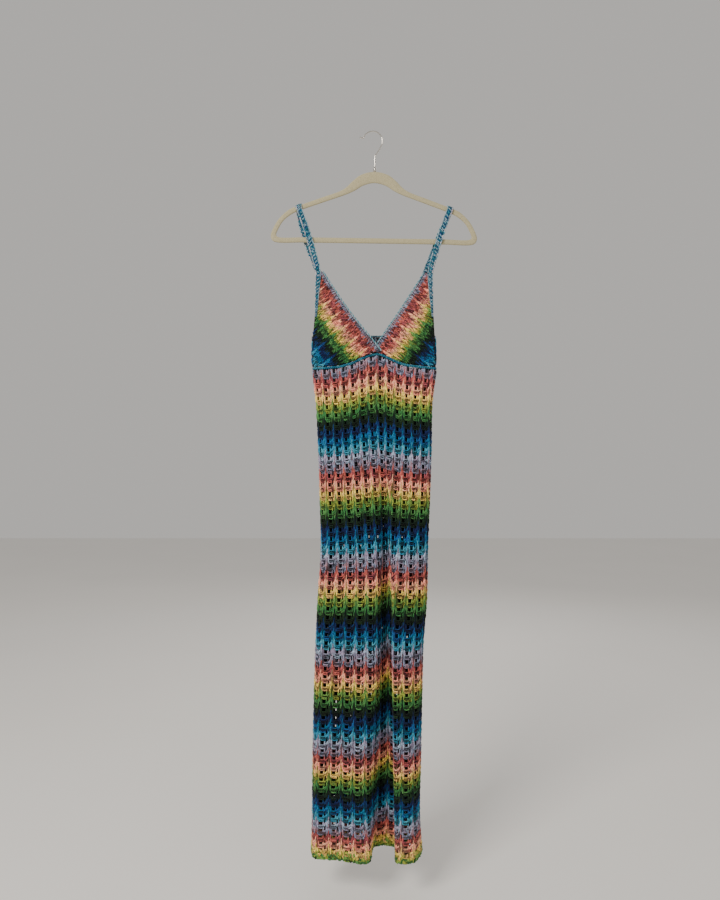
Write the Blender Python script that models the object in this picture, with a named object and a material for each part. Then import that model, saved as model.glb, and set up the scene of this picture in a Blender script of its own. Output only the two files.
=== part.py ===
"""A sleeveless crochet dress hanging on a slim hanger.

The origin is on the underside of the hanger's wire hook, where it hangs. The dress front faces -Y and +X is
the viewer's right. Sizes are millimetres, and the meshes are made in metres.
"""
import math

import bmesh
import bpy
import numpy as np

MM = 0.001
GAP = 0.3                   # between sewn pieces
CLOTH = 2.4                 # thickness of the crochet

# Skirt: a tube of crochet columns, half of them in front
COLUMNS = 14                # on each panel
RIB = 1.2                   # how far the long stitches between columns stand out
RIB_HALF = 0.18             # of a column
LEVELS = 16                 # rings of points from the waist to the hem
HEM_Z = -1551.5
HEM_CUSP = 4.0              # how far the scalloped hem rises between columns
SKIRT_SECTIONS = (
    # z, left and right side edges, side plane, left part's depth, brow of the left fold, bottom of
    # the pleat, crest of the right fold, lift of the rows in the pleat, depth of the back and its waves
    "z left right side_y lobe_y brow_x brow_y pit_x pit_y crest_x crest_y lift back_y wave".split(),
    (-514, -133.5, 134.0, 0, -13.5, -12.0, -14, 4.0, -14, 18.0, -14, 0, 12.0, 0),
    (-579, -125.7, 125.5, 0, -15.0, -12.0, -16, 5.0, -15, 18.0, -16, 0, 14.0, 1.5),
    (-687, -120.3, 123.2, 0, -17.0, -5.4, -18, 7.5, -13, 20.2, -19, 0, 16.0, 2.5),
    (-795, -117.1, 119.7, 0, -18.0, 3.0, -22, 17.5, -7, 30.7, -23, 2, 17.0, 3.5),
    (-903, -115.0, 115.5, 0, -20.0, 3.0, -26, 20.8, 0, 34.8, -28, 4, 18.5, 4.0),
    (-1011, -122.0, 113.3, 0, -22.0, 3.5, -30, 18.8, 5, 36.6, -33, 7, 20.5, 4.5),
    (-1097, -126.2, 106.5, 0, -24.0, 2.8, -34, 20.0, 8, 37.0, -37, 10, 22.0, 5.0),
    (-1205, -129.8, 103.5, 0, -26.0, -3.0, -38, 20.0, 9, 38.0, -42, 12, 23.0, 5.0),
    (-1356, -133.1, 100.5, 0, -30.0, -15.0, -44, 16.0, 10, 40.2, -46, 12, 24.0, 5.5),
    (-1486, -134.1, 98.4, 0, -33.0, -15.3, -48, 6.0, 11, 42.8, -49, 8, 25.0, 5.5),
    (-1552, -136.0, 103.0, 0, -33.0, -12.2, -50, -2.0, 11, 44.2, -50, 4, 25.0, 5.5),
)
BACK_WAVES = 3

# Waist seam: rises to a point between the cups
WAIST_Z = -511.0
WAIST_RISE = (
    # x, and how far the seam stands above WAIST_Z there
    (-104.0, 0.0),
    (-74.0, 2.6),
    (-53.0, 8.6),
    (-42.0, 12.8),
    (-32.0, 18.0),
    (-21.0, 22.9),
    (-10.0, 26.8),
    (0.0, 29.4),
    (6.0, 30.2),
    (12.0, 29.4),
    (22.0, 24.8),
    (32.5, 19.9),
    (43.0, 15.0),
    (54.0, 10.3),
    (65.0, 7.0),
    (75.0, 5.0),
    (97.0, 2.6),
    (130.0, 0.0),
)
RISE_FADE = 250.0           # how far down the skirt's rows still follow the rise
BAND_HEIGHT = 6.5
BAND_THICK = 4.6
BAND_CLEAR = 0.8

# Bodice
BODICE_EDGE = (
    # z, and how far left and right the cups' outer edges lie
    (-308.0, 122.0, 122.0),
    (-359.0, 124.3, 124.0),
    (-380.0, 126.2, 125.6),
    (-405.0, 129.8, 128.6),
    (-439.0, 134.2, 131.8),
    (-474.0, 136.0, 133.0),
    (-512.0, 134.4, 133.6),
)
UNDERARM_Z = -441.0         # the straight top of the back panel, where the side seams begin
BACK_STATIONS = 32
ARMHOLE_TOP_Z = -385.0      # from here up the cups lie in one plane
CUP_PLANE_Y = -8.0
CUP_BULGE = 12.0
CUP_CENTRE = (72.0, -438.0)
CUP_SPREAD = (46.0, 52.0)
CUP_EDGE_FADE = (0.82, 1.0) # parts of the way to the side edge between which the bulge ends
CUP_WAIST_FADE = 30.0       # height over the waist within which it ends
LEFT_NECK = ((-113.5, -302.0), (-57.5, -386.0), (15.0, -478.0))   # x and z
RIGHT_NECK = ((110.0, -304.0), (51.5, -395.0), (-5.2, -477.6))
CUP_OVERLAP = 4.0           # the left cup is laid over the right one at the centre
OVERLAP_FROM_X = -32.0
OVERLAP_TO_X = -12.0
CUP_STATIONS = (8, 4, 16)   # along the armhole, the side seam and the waist
CUP_ROWS = 6
CUP_POINT = 4.0             # width of the cup's lowest corner
EDGING = (1.6, 1.8)         # half width and half thickness of the crocheted edging
EDGING_CLEAR = 0.5

# Straps: over the hanger's arms, and down the armhole edges in front
STRAP_THICK = 3.0
STRAP_CLEAR = 0.8           # over the hanger's arm
STRAP_OFF_BACK = 1.1        # room for the back panel's edging
LEFT_FRONT_RUN = (
    # x, z and width of the front run from its lower end up
    (-125.6, -401.0, 3.5),
    (-124.4, -376.0, 7.0),
    (-122.4, -338.0, 10.5),
    (-121.2, -306.0, 12.5),
)
RIGHT_FRONT_RUN = (
    (125.2, -401.0, 3.5),
    (123.4, -376.0, 7.0),
    (121.0, -338.0, 10.5),
    (120.4, -306.0, 12.5),
)
STRAP_BOW = 2.8             # how far the front runs sag inward between hanger and cup
LEFT_BACK_X = -75.0         # where the straps meet the back panel
RIGHT_BACK_X = 53.0
STRAP_BACK_END_Z = -452.0
LEFT_BACK_SWING = 6.0       # how far the left strap swings outward behind, under the hanger's arm
RIGHT_BACK_SWING = 0.0
STRAP_BACK_RUN = (
    # share of the way from the arm to the end of the strap, and share of the swing there
    (0.12, 0.8),
    (0.25, 1.0),
    (0.42, 0.25),
    (0.7, 0.0),
    (0.95, 0.0),
    (1.0, 0.0),
)
STRAP_ON_ARM_X = 163.6
STRAP_WIDTH = 14.0

# Hanger
HANGER_TILT = math.radians(0.85)
NECK = (1.0, -86.0)         # where the hook enters the body
HANGER_THICK = 5.6
HANGER_HALF = (
    # outer and inner edge, from the neck round to the middle of the bottom bar
    (0.0, -86.0, 0.0, -110.0),
    (29.5, -92.9, 24.0, -115.5),
    (46.6, -105.9, 41.0, -126.0),
    (59.5, -118.9, 55.0, -133.0),
    (72.3, -127.7, 69.0, -138.5),
    (117.0, -144.4, 112.5, -154.0),
    (161.9, -161.0, 158.0, -170.5),
    (183.3, -169.9, 177.0, -179.0),
    (204.7, -189.5, 196.0, -194.5),
    (217.4, -210.8, 207.5, -214.0),
    (222.6, -228.0, 211.0, -225.0),
    (217.0, -238.7, 207.0, -229.5),
    (150.0, -240.5, 150.0, -229.5),
    (70.0, -240.5, 70.0, -229.5),
)
HOOK_CENTRE = (-3.5, -19.3)
HOOK_RADIUS = 21.1
HOOK_WIRE = 1.5             # radius
HOOK_ARC = (162.0, -28.0)   # degrees, from the tip's side over the top
HOOK_TIP = (-31.2, -10.8)
HOOK_STEM = ((6.0, -44.0), (1.0, -50.5), (0.0, -56.0), (0.0, -66.0))    # beside its axis, and z
COLLAR_RADIUS = 3.2
COLLAR_TOP_Z = -77.0


def smooth_step(low, high, value):
    """0 below low, 1 above high and an even rise between them."""
    part = np.clip((np.asarray(value, float) - low) / (high - low), 0, 1)
    return part * part * (3 - 2 * part)


def curve_through(points, steps=12, closed=False):
    """A dense centripetal Catmull-Rom curve through the points."""
    knots = np.array(points, float)
    if closed:
        knots = np.vstack([knots[-1], knots, knots[:2]])
    else:
        knots = np.vstack([2 * knots[0] - knots[1], knots, 2 * knots[-1] - knots[-2]])
    found = []
    for a, b, c, d in zip(knots, knots[1:], knots[2:], knots[3:]):
        t0 = 0.0
        t1 = t0 + math.sqrt(np.linalg.norm(b - a))
        t2 = t1 + math.sqrt(np.linalg.norm(c - b))
        t3 = t2 + math.sqrt(np.linalg.norm(d - c))
        for t in np.linspace(t1, t2, steps, endpoint=False):
            ab = a + (b - a) * (t - t0) / (t1 - t0)
            bc = b + (c - b) * (t - t1) / (t2 - t1)
            cd = c + (d - c) * (t - t2) / (t3 - t2)
            abc = ab + (bc - ab) * (t - t0) / (t2 - t0)
            bcd = bc + (cd - bc) * (t - t1) / (t3 - t1)
            found.append(abc + (bcd - abc) * (t - t1) / (t2 - t1))
    if not closed:
        found.append(knots[-2])
    return np.array(found)


def at_fractions(curve, fractions):
    """Points on the curve at the given fractions of its length."""
    steps = np.linalg.norm(np.diff(curve, axis=0), axis=1)
    length = np.concatenate([[0.0], np.cumsum(steps)])
    wanted = np.asarray(fractions) * length[-1]
    return np.column_stack([np.interp(wanted, length, axis) for axis in curve.T])


def material(name, colour, roughness, metallic=0.0):
    made = bpy.data.materials.new(name)
    made.use_nodes = True
    shader = made.node_tree.nodes["Principled BSDF"]
    shader.inputs["Base Color"].default_value = (*colour, 1.0)
    shader.inputs["Roughness"].default_value = roughness
    shader.inputs["Metallic"].default_value = metallic
    return made


def add_object(name, points, faces, finish):
    """A named object from points in millimetres."""
    mesh = bpy.data.meshes.new(name)
    mesh.from_pydata((np.asarray(points) * MM).tolist(), [], faces)
    mesh.materials.append(finish)
    made = bpy.data.objects.new(name, mesh)
    bpy.context.collection.objects.link(made)
    work = bmesh.new()
    work.from_mesh(mesh)
    bmesh.ops.recalc_face_normals(work, faces=work.faces)
    work.to_mesh(mesh)
    work.free()
    mesh.shade_smooth()
    mesh.set_sharp_from_angle(angle=math.radians(50))
    return made


def wall(name, outer, inner, finish):
    """A closed wall between two grids of points, both rows x columns x 3."""
    rows, columns = outer.shape[:2]
    offset = rows * columns

    def at(row, column, side=0):
        return side * offset + row * columns + column

    faces = []
    for row in range(rows - 1):
        for column in range(columns - 1):
            quad = [(row, column), (row, column + 1), (row + 1, column + 1), (row + 1, column)]
            faces.append([at(*corner) for corner in quad])
            faces.append([at(*corner, 1) for corner in reversed(quad)])
    rim = [(0, column) for column in range(columns - 1)]
    rim += [(row, columns - 1) for row in range(rows - 1)]
    rim += [(rows - 1, column) for column in range(columns - 1, 0, -1)]
    rim += [(row, 0) for row in range(rows - 1, 0, -1)]
    for here, there in zip(rim, rim[1:] + rim[:1]):
        faces.append([at(*there), at(*here), at(*here, 1), at(*there, 1)])
    points = np.concatenate([outer.reshape(-1, 3), inner.reshape(-1, 3)])
    return add_object(name, points, faces, finish)


def grid_normals(grid, toward):
    """Unit normals of a grid of points, on the side that toward, a vector, lies on."""
    across = np.gradient(grid, axis=1)
    along = np.gradient(grid, axis=0)
    normals = np.cross(across, along)
    normals /= np.linalg.norm(normals, axis=2, keepdims=True)
    middle = normals[normals.shape[0] // 2, normals.shape[1] // 2]
    return normals if np.dot(middle, toward) > 0 else -normals


def swept(name, path, widths, outline, finish, across=None, ends_along_y=False):
    """A solid along a path: outline points are (across, through) parts of each station's two half sizes.

    across is the direction of the first half size at each station, and the second is at right angles to it.
    """
    path = np.asarray(path, float)
    tangents = np.gradient(path, axis=0)
    tangents /= np.linalg.norm(tangents, axis=1, keepdims=True)
    if ends_along_y:
        for end in (0, -1):
            tangents[end] = (0, math.copysign(1, tangents[end, 1]), 0)
    if across is None:
        across = np.cross(tangents, (0.0, 1.0, 0.0))
    across = np.broadcast_to(np.asarray(across, float), path.shape)
    across = across - tangents * np.sum(across * tangents, axis=1, keepdims=True)
    across = across / np.linalg.norm(across, axis=1, keepdims=True)
    through = np.cross(tangents, across)
    rings = []
    for middle, side, depth, (half_width, half_depth) in zip(path, across, through, widths):
        rings.append([middle + side * half_width * a + depth * half_depth * b for a, b in outline])
    count = len(outline)
    faces = []
    stations = len(path)
    for ring in range(stations - 1):
        for point in range(count):
            beside = (point + 1) % count
            corners = [(ring, point), (ring, beside), (ring + 1, beside), (ring + 1, point)]
            faces.append([r * count + p for r, p in corners])
    faces.append(list(range(count))[::-1])
    faces.append([(stations - 1) * count + point for point in range(count)])
    return add_object(name, np.concatenate(rings), faces, finish)


def rounded(sides, power=2.0):
    """An outline that reaches 1 each way, between a circle (power 2) and a square with rounded corners."""
    angles = 2 * math.pi * (np.arange(sides) + 0.5) / sides
    found = np.column_stack([np.cos(angles), np.sin(angles)])
    found = np.sign(found) * np.abs(found) ** (2 / power)
    return found / np.abs(found).max(axis=0)


def section_at(z):
    """The skirt's section sizes at one height, by name, from smooth curves through the table."""
    names, rows = SKIRT_SECTIONS[0], np.array(SKIRT_SECTIONS[1:], float)
    heights = -rows[:, 0]
    place = np.interp(-z, heights, np.arange(len(heights)))
    low = min(int(place), len(rows) - 2)
    part = place - low
    slopes = np.gradient(rows, heights, axis=0) * (heights[low + 1] - heights[low])
    square, cube = part * part, part * part * part
    values = (
        rows[low] * (2 * cube - 3 * square + 1)
        + slopes[low] * (cube - 2 * square + part)
        + rows[low + 1] * (3 * square - 2 * cube)
        + slopes[low + 1] * (cube - square)
    )
    return dict(zip(names, values))


def front_section(z):
    """Plan curve of the skirt's front, left to right: rolled side, left part, pleat, right fold."""
    s = section_at(z)
    left, right, side = s["left"], s["right"], s["side_y"] - GAP / 2
    lobe, pit, crest = s["lobe_y"], s["pit_y"], s["crest_y"]
    points = [
        (left, side),
        (left + 1.0, side - 4.0),
        (left + 8.0, lobe + 3.0),
        (left + 24.0, lobe),
        ((left + s["brow_x"]) / 2, lobe * 0.8 + s["brow_y"] * 0.2),
        (s["brow_x"] - 16.0, s["brow_y"]),
        (s["brow_x"], s["brow_y"] * 0.93 + pit * 0.07),
        (s["pit_x"], s["brow_y"] * 0.12 + pit * 0.88),
        ((s["pit_x"] + s["crest_x"]) / 2, pit),
        (s["crest_x"] + 0.5, pit * 0.9 + crest * 0.1),
        (s["crest_x"] + 1.0, (pit + crest) / 2),
        (s["crest_x"] + 1.5, crest * 0.96 + pit * 0.04),
        (s["crest_x"] + 9.0, crest),
        ((s["crest_x"] + right) / 2 + 6.0, crest * 0.75 + lobe * 0.25),
        (right - 8.0, lobe * 0.8 + 1.0),
        (right - 1.0, side - 4.0),
        (right, side),
    ]
    return curve_through(points)


def back_section(z):
    """Plan curve of the skirt's back from its right side to its left, with soft even folds."""
    s = section_at(z)
    left, right, side = s["left"], s["right"], s["side_y"] + GAP / 2
    points = [(right, side), (right - 1.0, side + 4.0), (right - 7.0, s["back_y"] - 4.0)]
    first, last = right - 20.0, left + 20.0
    for step in range(4 * BACK_WAVES + 1):
        part = step / (4 * BACK_WAVES)
        swing = math.cos(2 * math.pi * BACK_WAVES * part)
        points.append((first + (last - first) * part, s["back_y"] + s["wave"] * swing))
    points += [(left + 7.0, s["back_y"] - 4.0), (left + 1.0, side + 4.0), (left, side)]
    return curve_through(points)


def waist_rise(x):
    """How far the waist seam stands above its ends at x."""
    places, rises = np.array(WAIST_RISE).T
    return np.interp(x, places, rises)


def skirt_top():
    return WAIST_Z - BAND_HEIGHT / 2 - BAND_CLEAR


def column_lines():
    """Places across a panel, in columns: each column's middle, and the foot and top of its two ribs."""
    lines = [0.0]
    for column in range(COLUMNS):
        lines += [column + part for part in (RIB_HALF, 0.5, 1 - RIB_HALF, 1.0)]
    return np.array(lines)


def skirt_panel(name, plan, follows_waist, outward, finish):
    """One half of the skirt's tube. plan(z) is its plan curve."""
    lines = column_lines()
    rib = np.where(np.isclose(lines % 1, 0), RIB, 0.0)
    rib[[0, -1]] = 0.0
    cusp = np.interp(np.abs(lines % 1 - 0.5), (0, 0.5 - RIB_HALF, 0.5), (0, 0.4, 1))
    top = skirt_top()
    rows = []
    for level in range(LEVELS + 1):
        part = level / LEVELS
        z = top + (HEM_Z - top) * part
        xy = at_fractions(plan(z), lines / COLUMNS)
        heights = np.full(len(lines), z)
        if follows_waist:
            s = section_at(z)
            heights += waist_rise(xy[:, 0]) * math.exp(-(((top - z) / RISE_FADE) ** 1.2))
            deep = smooth_step(s["lobe_y"], s["pit_y"] + 1e-6, xy[:, 1]) if s["lift"] > 0.01 else 0
            inside = (xy[:, 0] > s["brow_x"] - 5) & (xy[:, 0] < s["crest_x"] + 6)
            heights += s["lift"] * deep * inside
        if level == LEVELS:
            heights += HEM_CUSP * cusp
        rows.append(np.column_stack([xy, heights]))
    base = np.array(rows)
    normals = grid_normals(base, outward)
    normals[:, :, 2] = 0
    normals[:, 0] = (math.copysign(1, base[0, 0, 0]), 0, 0)
    normals[:, -1] = (math.copysign(1, base[0, -1, 0]), 0, 0)
    normals /= np.linalg.norm(normals, axis=2, keepdims=True)
    return wall(name, base + normals * rib[None, :, None], base - normals * CLOTH, finish)


def waist_band(name, plan, follows_waist, finish):
    """The crocheted cord that joins the bodice to the skirt, along one half of the waist."""
    line = at_fractions(plan(skirt_top()), np.linspace(0, 1, 33))
    rise = waist_rise(line[:, 0]) if follows_waist else np.zeros(len(line))
    path = np.column_stack([line, WAIST_Z + rise])
    tangents = np.gradient(path, axis=0)
    inward = np.cross(tangents, (0.0, 0.0, 1.0))
    inward /= np.linalg.norm(inward, axis=1, keepdims=True)
    centre = np.array((0.0, 0.0, WAIST_Z))
    inward *= np.sign(np.sum((centre - path) * inward, axis=1, keepdims=True))
    inward[0] = (-math.copysign(1, path[0, 0]), 0, 0)
    inward[-1] = (-math.copysign(1, path[-1, 0]), 0, 0)
    widths = np.tile((BAND_THICK / 2, BAND_HEIGHT / 2), (len(path), 1))
    path = path + inward * CLOTH / 2
    return swept(name, path, widths, rounded(8, 2.6), finish, inward, ends_along_y=True)


WAIST_FRONT = front_section(skirt_top())
WAIST_BACK = back_section(skirt_top())[::-1]


def bodice_reach(x, z):
    """How far from x = 0 the bodice's edge lies at z, on the side that x is on."""
    heights, left, right = np.array(BODICE_EDGE).T
    down = -np.asarray(z, float)
    return np.where(np.asarray(x) < 0, np.interp(down, -heights, left), np.interp(down, -heights, right))


def waist_place(x, z, waist):
    """The x on the waist's plan curve that lies straight below x at z."""
    ends = np.where(np.asarray(x) < 0, -waist[0, 0], waist[-1, 0])
    return np.clip(np.asarray(x) / bodice_reach(x, z), -1, 1) * ends


def bodice_front_y(x, z):
    """Outer face of the cups at x and z: the waist's curve low down, a plane at the armholes, a bulge."""
    x, z = np.asarray(x, float), np.asarray(z, float)
    low = np.interp(waist_place(x, z, WAIST_FRONT), WAIST_FRONT[:, 0], WAIST_FRONT[:, 1])
    flat = smooth_step(UNDERARM_Z, ARMHOLE_TOP_Z, z)
    bulge = 0
    for side in (-1, 1):
        across = (x - side * CUP_CENTRE[0]) / CUP_SPREAD[0]
        along = (z - CUP_CENTRE[1]) / CUP_SPREAD[1]
        bulge = bulge + CUP_BULGE * np.exp(-(across**2) - along**2)
    off_edge = 1 - smooth_step(*CUP_EDGE_FADE, np.abs(x) / bodice_reach(x, z))
    off_waist = smooth_step(0, CUP_WAIST_FADE, z - WAIST_Z - waist_rise(x))
    return low * (1 - flat) + CUP_PLANE_Y * flat - bulge * off_edge * off_waist


def left_cup_y(x, z):
    """The left cup's outer face: it comes forward where it is laid over the right cup."""
    return bodice_front_y(x, z) - CUP_OVERLAP * smooth_step(OVERLAP_FROM_X, OVERLAP_TO_X, x)


def cup_outer_edge(side, centre_x):
    """Points down a cup's armhole, down its side seam, and along the waist to the centre."""
    heights = [row[0] for row in BODICE_EDGE]
    low = WAIST_Z + BAND_HEIGHT / 2 + BAND_CLEAR
    armhole = [z for z in heights if z > UNDERARM_Z] + [UNDERARM_Z]
    seam = [UNDERARM_Z] + [z for z in heights if low < z < UNDERARM_Z] + [low]
    parts = [[(side * float(bodice_reach(side, z)), z) for z in part] for part in (armhole, seam)]
    corner_x = parts[1][-1][0]
    parts.append([(x, low + float(waist_rise(x))) for x in np.linspace(corner_x, centre_x, 24)])
    found = [parts[0][:1]]
    for part, stations in zip(parts, CUP_STATIONS):
        found.append(at_fractions(np.array(part), np.linspace(0, 1, stations + 1))[1:])
    return np.vstack(found)


def cup(name, side, neck, face_y, finish):
    """A triangular cup: rows of points from its neckline out to its armhole, side and waist edges."""
    neck_line = at_fractions(curve_through(neck), np.linspace(0, 1, sum(CUP_STATIONS) + 1))
    edge = cup_outer_edge(side, neck[-1][0] + side * CUP_POINT)
    rows = []
    for row in range(CUP_ROWS + 1):
        flat = neck_line + (edge - neck_line) * row / CUP_ROWS
        y = face_y(flat[:, 0], flat[:, 1])
        rows.append(np.column_stack([flat[:, 0], y, flat[:, 1]]))
    outer = np.array(rows)
    normals = grid_normals(outer, (0, -1, 0))
    underarm = CUP_STATIONS[0]
    corner = underarm + CUP_STATIONS[1]
    normals[-1, underarm:corner + 1] = (side, 0, 0)
    normals[-1, corner:, 2] = 0
    normals /= np.linalg.norm(normals, axis=2, keepdims=True)
    return wall(name, outer, outer - normals * CLOTH, finish)


def back_x(waist_x, z):
    """The x at z that lies straight above a place on the back's waist."""
    ends = np.where(waist_x < 0, -WAIST_BACK[0, 0], WAIST_BACK[-1, 0])
    return waist_x / ends * bodice_reach(waist_x, z)


def back_panel(finish):
    """The straight back of the bodice, from side seam to side seam."""
    low = WAIST_Z + BAND_HEIGHT / 2 + BAND_CLEAR
    rows = []
    line = at_fractions(WAIST_BACK, np.linspace(0, 1, BACK_STATIONS + 1))
    for z in np.linspace(UNDERARM_Z, low, 5):
        rows.append(np.column_stack([back_x(line[:, 0], z), line[:, 1], np.full(len(line), z)]))
    outer = np.array(rows)
    normals = grid_normals(outer, (0, 1, 0))
    normals[:, 0] = (-1, 0, 0)
    normals[:, -1] = (1, 0, 0)
    return wall("bodice_back", outer, outer - normals * CLOTH, finish)


def back_y(x, z):
    """Outer face of the back panel at x."""
    return np.interp(waist_place(x, z, WAIST_BACK), WAIST_BACK[:, 0], WAIST_BACK[:, 1])


def neck_edging(name, side, neck, face_y, finish):
    """The edging along a cup's neckline, just outside its edge."""
    line = at_fractions(curve_through(neck), np.linspace(0.03, 0.985, 25))
    tangents = np.gradient(line, axis=0)
    tangents /= np.linalg.norm(tangents, axis=1, keepdims=True)
    outward = np.column_stack([tangents[:, 1], -tangents[:, 0]]) * side
    line = line + outward * (EDGING[0] + EDGING_CLEAR)
    y = face_y(line[:, 0], line[:, 1]) + CLOTH / 2
    path = np.column_stack([line[:, 0], y, line[:, 1]])
    return swept(name, path, np.tile(EDGING, (len(path), 1)), rounded(6), finish)


def back_edging(finish):
    """The edging along the back panel's top."""
    line = at_fractions(WAIST_BACK, np.linspace(0.02, 0.98, BACK_STATIONS + 1))
    x = back_x(line[:, 0], UNDERARM_Z)
    inward = np.column_stack([-0.4 * x / bodice_reach(x, UNDERARM_Z), np.full(len(x), -1.0)])
    inward /= np.linalg.norm(inward, axis=1, keepdims=True)
    height = UNDERARM_Z + GAP + EDGING[0]
    path = np.column_stack([x + inward[:, 0] * CLOTH / 2, line[:, 1] + inward[:, 1] * CLOTH / 2])
    path = np.column_stack([path, np.full(len(path), height)])
    widths = np.tile((EDGING[1], EDGING[0]), (len(path), 1))
    across = np.column_stack([-inward, np.zeros(len(path))])
    return swept("back_top_edging", path, widths, rounded(6), finish, across)


def hanger_edges():
    """Outer and inner edge of the hanger body as closed curves of equal count, tilted about the neck."""
    half = np.array(HANGER_HALF)
    bottom = half[-1].copy()
    bottom[[0, 2]] = 0
    mirrored = half[1:][::-1] * (-1, 1, -1, 1)
    loop = np.vstack([half, bottom, mirrored])
    outer = curve_through(loop[:, :2], steps=3, closed=True)
    inner = curve_through(loop[:, 2:], steps=3, closed=True)
    c, s = math.cos(HANGER_TILT), math.sin(HANGER_TILT)
    pivot = np.array((0.0, NECK[1]))
    turned = []
    for edge in (outer, inner):
        rel = edge - pivot
        tilted = np.column_stack([rel[:, 0] * c + rel[:, 1] * s, rel[:, 1] * c - rel[:, 0] * s])
        turned.append(tilted + NECK)
    return turned


def hanger_body(finish):
    outer, inner = hanger_edges()
    middle = (outer + inner) / 2
    reach = (outer - inner) / 2
    sizes = np.linalg.norm(reach, axis=1)
    path = np.column_stack([middle[:, 0], np.zeros(len(middle)), middle[:, 1]])
    across = np.column_stack([reach[:, 0], np.zeros(len(middle)), reach[:, 1]]) / sizes[:, None]
    outline = rounded(8, 2.6)
    rings = []
    for place, side, size in zip(path, across, sizes):
        rings.append([place + side * size * a + np.array((0, HANGER_THICK / 2 * b, 0)) for a, b in outline])
    count, stations = len(outline), len(path)
    faces = []
    for ring in range(stations):
        after = (ring + 1) % stations
        for point in range(count):
            beside = (point + 1) % count
            corners = [(ring, point), (ring, beside), (after, beside), (after, point)]
            faces.append([r * count + p for r, p in corners])
    return add_object("hanger_body", np.concatenate(rings), faces, finish)


def arm_top(x):
    """Height of the hanger arm's upper edge at x."""
    outer, _ = hanger_edges()
    upper = outer[outer[:, 1] > -190]
    order = np.argsort(upper[:, 0])
    return float(np.interp(x, upper[order, 0], upper[order, 1]))


def hanger_hook(finish):
    """The wire hook: an open round hook with a turned-out tip, its stem, and the collar it turns in."""
    angles = np.radians(np.arange(HOOK_ARC[0], HOOK_ARC[1] - 1, -10.0))
    round_part = np.column_stack([np.cos(angles), np.sin(angles)]) * HOOK_RADIUS + HOOK_CENTRE
    stem_x = NECK[0]
    points = [HOOK_TIP, (HOOK_TIP[0] + 3.5, HOOK_TIP[1] - 1.5), *round_part]
    points += [(stem_x + aside, z) for aside, z in HOOK_STEM]
    points.append((stem_x, COLLAR_TOP_Z))
    line = curve_through(points, steps=2)
    collar = [(stem_x, COLLAR_TOP_Z - 0.4), (stem_x, COLLAR_TOP_Z - 1.2), (stem_x, NECK[1] + GAP)]
    line = np.vstack([line, collar])
    path = np.column_stack([line[:, 0], np.zeros(len(line)), line[:, 1]])
    radii = np.full(len(path), HOOK_WIRE)
    radii[-2:] = COLLAR_RADIUS
    radii[-3] = COLLAR_RADIUS * 0.8
    return swept("hanger_hook", path, np.column_stack([radii, radii]), rounded(8), finish)


def strap(name, front_run, face_y, arm_x, back_x, back_swing, finish):
    """One strap: from the armhole edge of its cup over the hanger's arm to the back panel."""
    lift = GAP + STRAP_THICK / 2
    points, widths = [], []
    for x, z, width in front_run:
        points.append((x, float(face_y(x, z)) - lift, z))
        widths.append(width)
    turn = HANGER_THICK / 2 + STRAP_CLEAR + STRAP_THICK / 2
    top = arm_top(arm_x) + STRAP_CLEAR + STRAP_THICK / 2 - turn
    last = points[-1]
    for part in (0.3, 0.6, 0.85):
        bow = math.copysign(STRAP_BOW * 4 * part * (1 - part), arm_x)
        points.append((last[0] + (arm_x - last[0]) * part - bow, last[1] + (-turn - last[1]) * part,
                       last[2] + (top - last[2]) * part))
        widths.append(STRAP_WIDTH)
    for degrees in range(180, -1, -30):
        angle = math.radians(degrees)
        points.append((arm_x, turn * math.cos(angle), top + turn * math.sin(angle)))
        widths.append(STRAP_WIDTH)
    end_y = float(back_y(back_x, UNDERARM_Z)) + STRAP_OFF_BACK + STRAP_THICK / 2
    for part, share in STRAP_BACK_RUN:
        swing = math.copysign(back_swing * share, arm_x)
        points.append((arm_x + (back_x - arm_x) * part + swing, turn + (end_y - turn) * min(part / 0.95, 1),
                       top + (STRAP_BACK_END_Z - top) * part))
        widths.append(STRAP_WIDTH)
    points = np.array(points)
    path = curve_through(points, steps=2)
    spread = np.interp(np.linspace(0, 1, len(path)), np.linspace(0, 1, len(widths)), widths)
    front_way = points[len(front_run)] - np.array((arm_x, -turn, top))
    back_way = np.array((back_x, end_y, STRAP_BACK_END_Z)) - np.array((arm_x, turn, top))
    slope = (math.atan2(-front_way[0], -front_way[2]) + math.atan2(-back_way[0], -back_way[2])) / 2
    across = (math.cos(slope), 0.0, -math.sin(slope))
    sizes = np.column_stack([spread / 2, np.full(len(path), STRAP_THICK / 2)])
    return swept(name, path, sizes, rounded(8, 3.0), finish, across)


def build():
    for old in list(bpy.data.objects):
        bpy.data.objects.remove(old, do_unlink=True)
    striped = material("striped_crochet", (0.35, 0.30, 0.36), 0.85)
    teal = material("teal_yarn", (0.05, 0.30, 0.38), 0.8)
    cups = material("cup_crochet", (0.42, 0.22, 0.20), 0.85)
    velvet = material("velvet_coating", (0.42, 0.36, 0.25), 0.9)
    chrome = material("chrome_wire", (0.75, 0.75, 0.75), 0.2, 1.0)

    skirt_panel("skirt_front", front_section, True, (0, -1, 0), striped)
    skirt_panel("skirt_back", back_section, False, (0, 1, 0), striped)
    waist_band("waist_band_front", front_section, True, teal)
    waist_band("waist_band_back", back_section, False, teal)
    cup("cup_left", -1, LEFT_NECK, left_cup_y, cups)
    cup("cup_right", 1, RIGHT_NECK, bodice_front_y, cups)
    back_panel(cups)
    neck_edging("neck_edging_left", -1, LEFT_NECK, left_cup_y, teal)
    neck_edging("neck_edging_right", 1, RIGHT_NECK, bodice_front_y, teal)
    back_edging(teal)
    strap("strap_left", LEFT_FRONT_RUN, left_cup_y, -STRAP_ON_ARM_X, LEFT_BACK_X, LEFT_BACK_SWING, teal)
    strap("strap_right", RIGHT_FRONT_RUN, bodice_front_y, STRAP_ON_ARM_X, RIGHT_BACK_X, RIGHT_BACK_SWING, teal)
    hanger_body(velvet)
    hanger_hook(chrome)


build()
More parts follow.
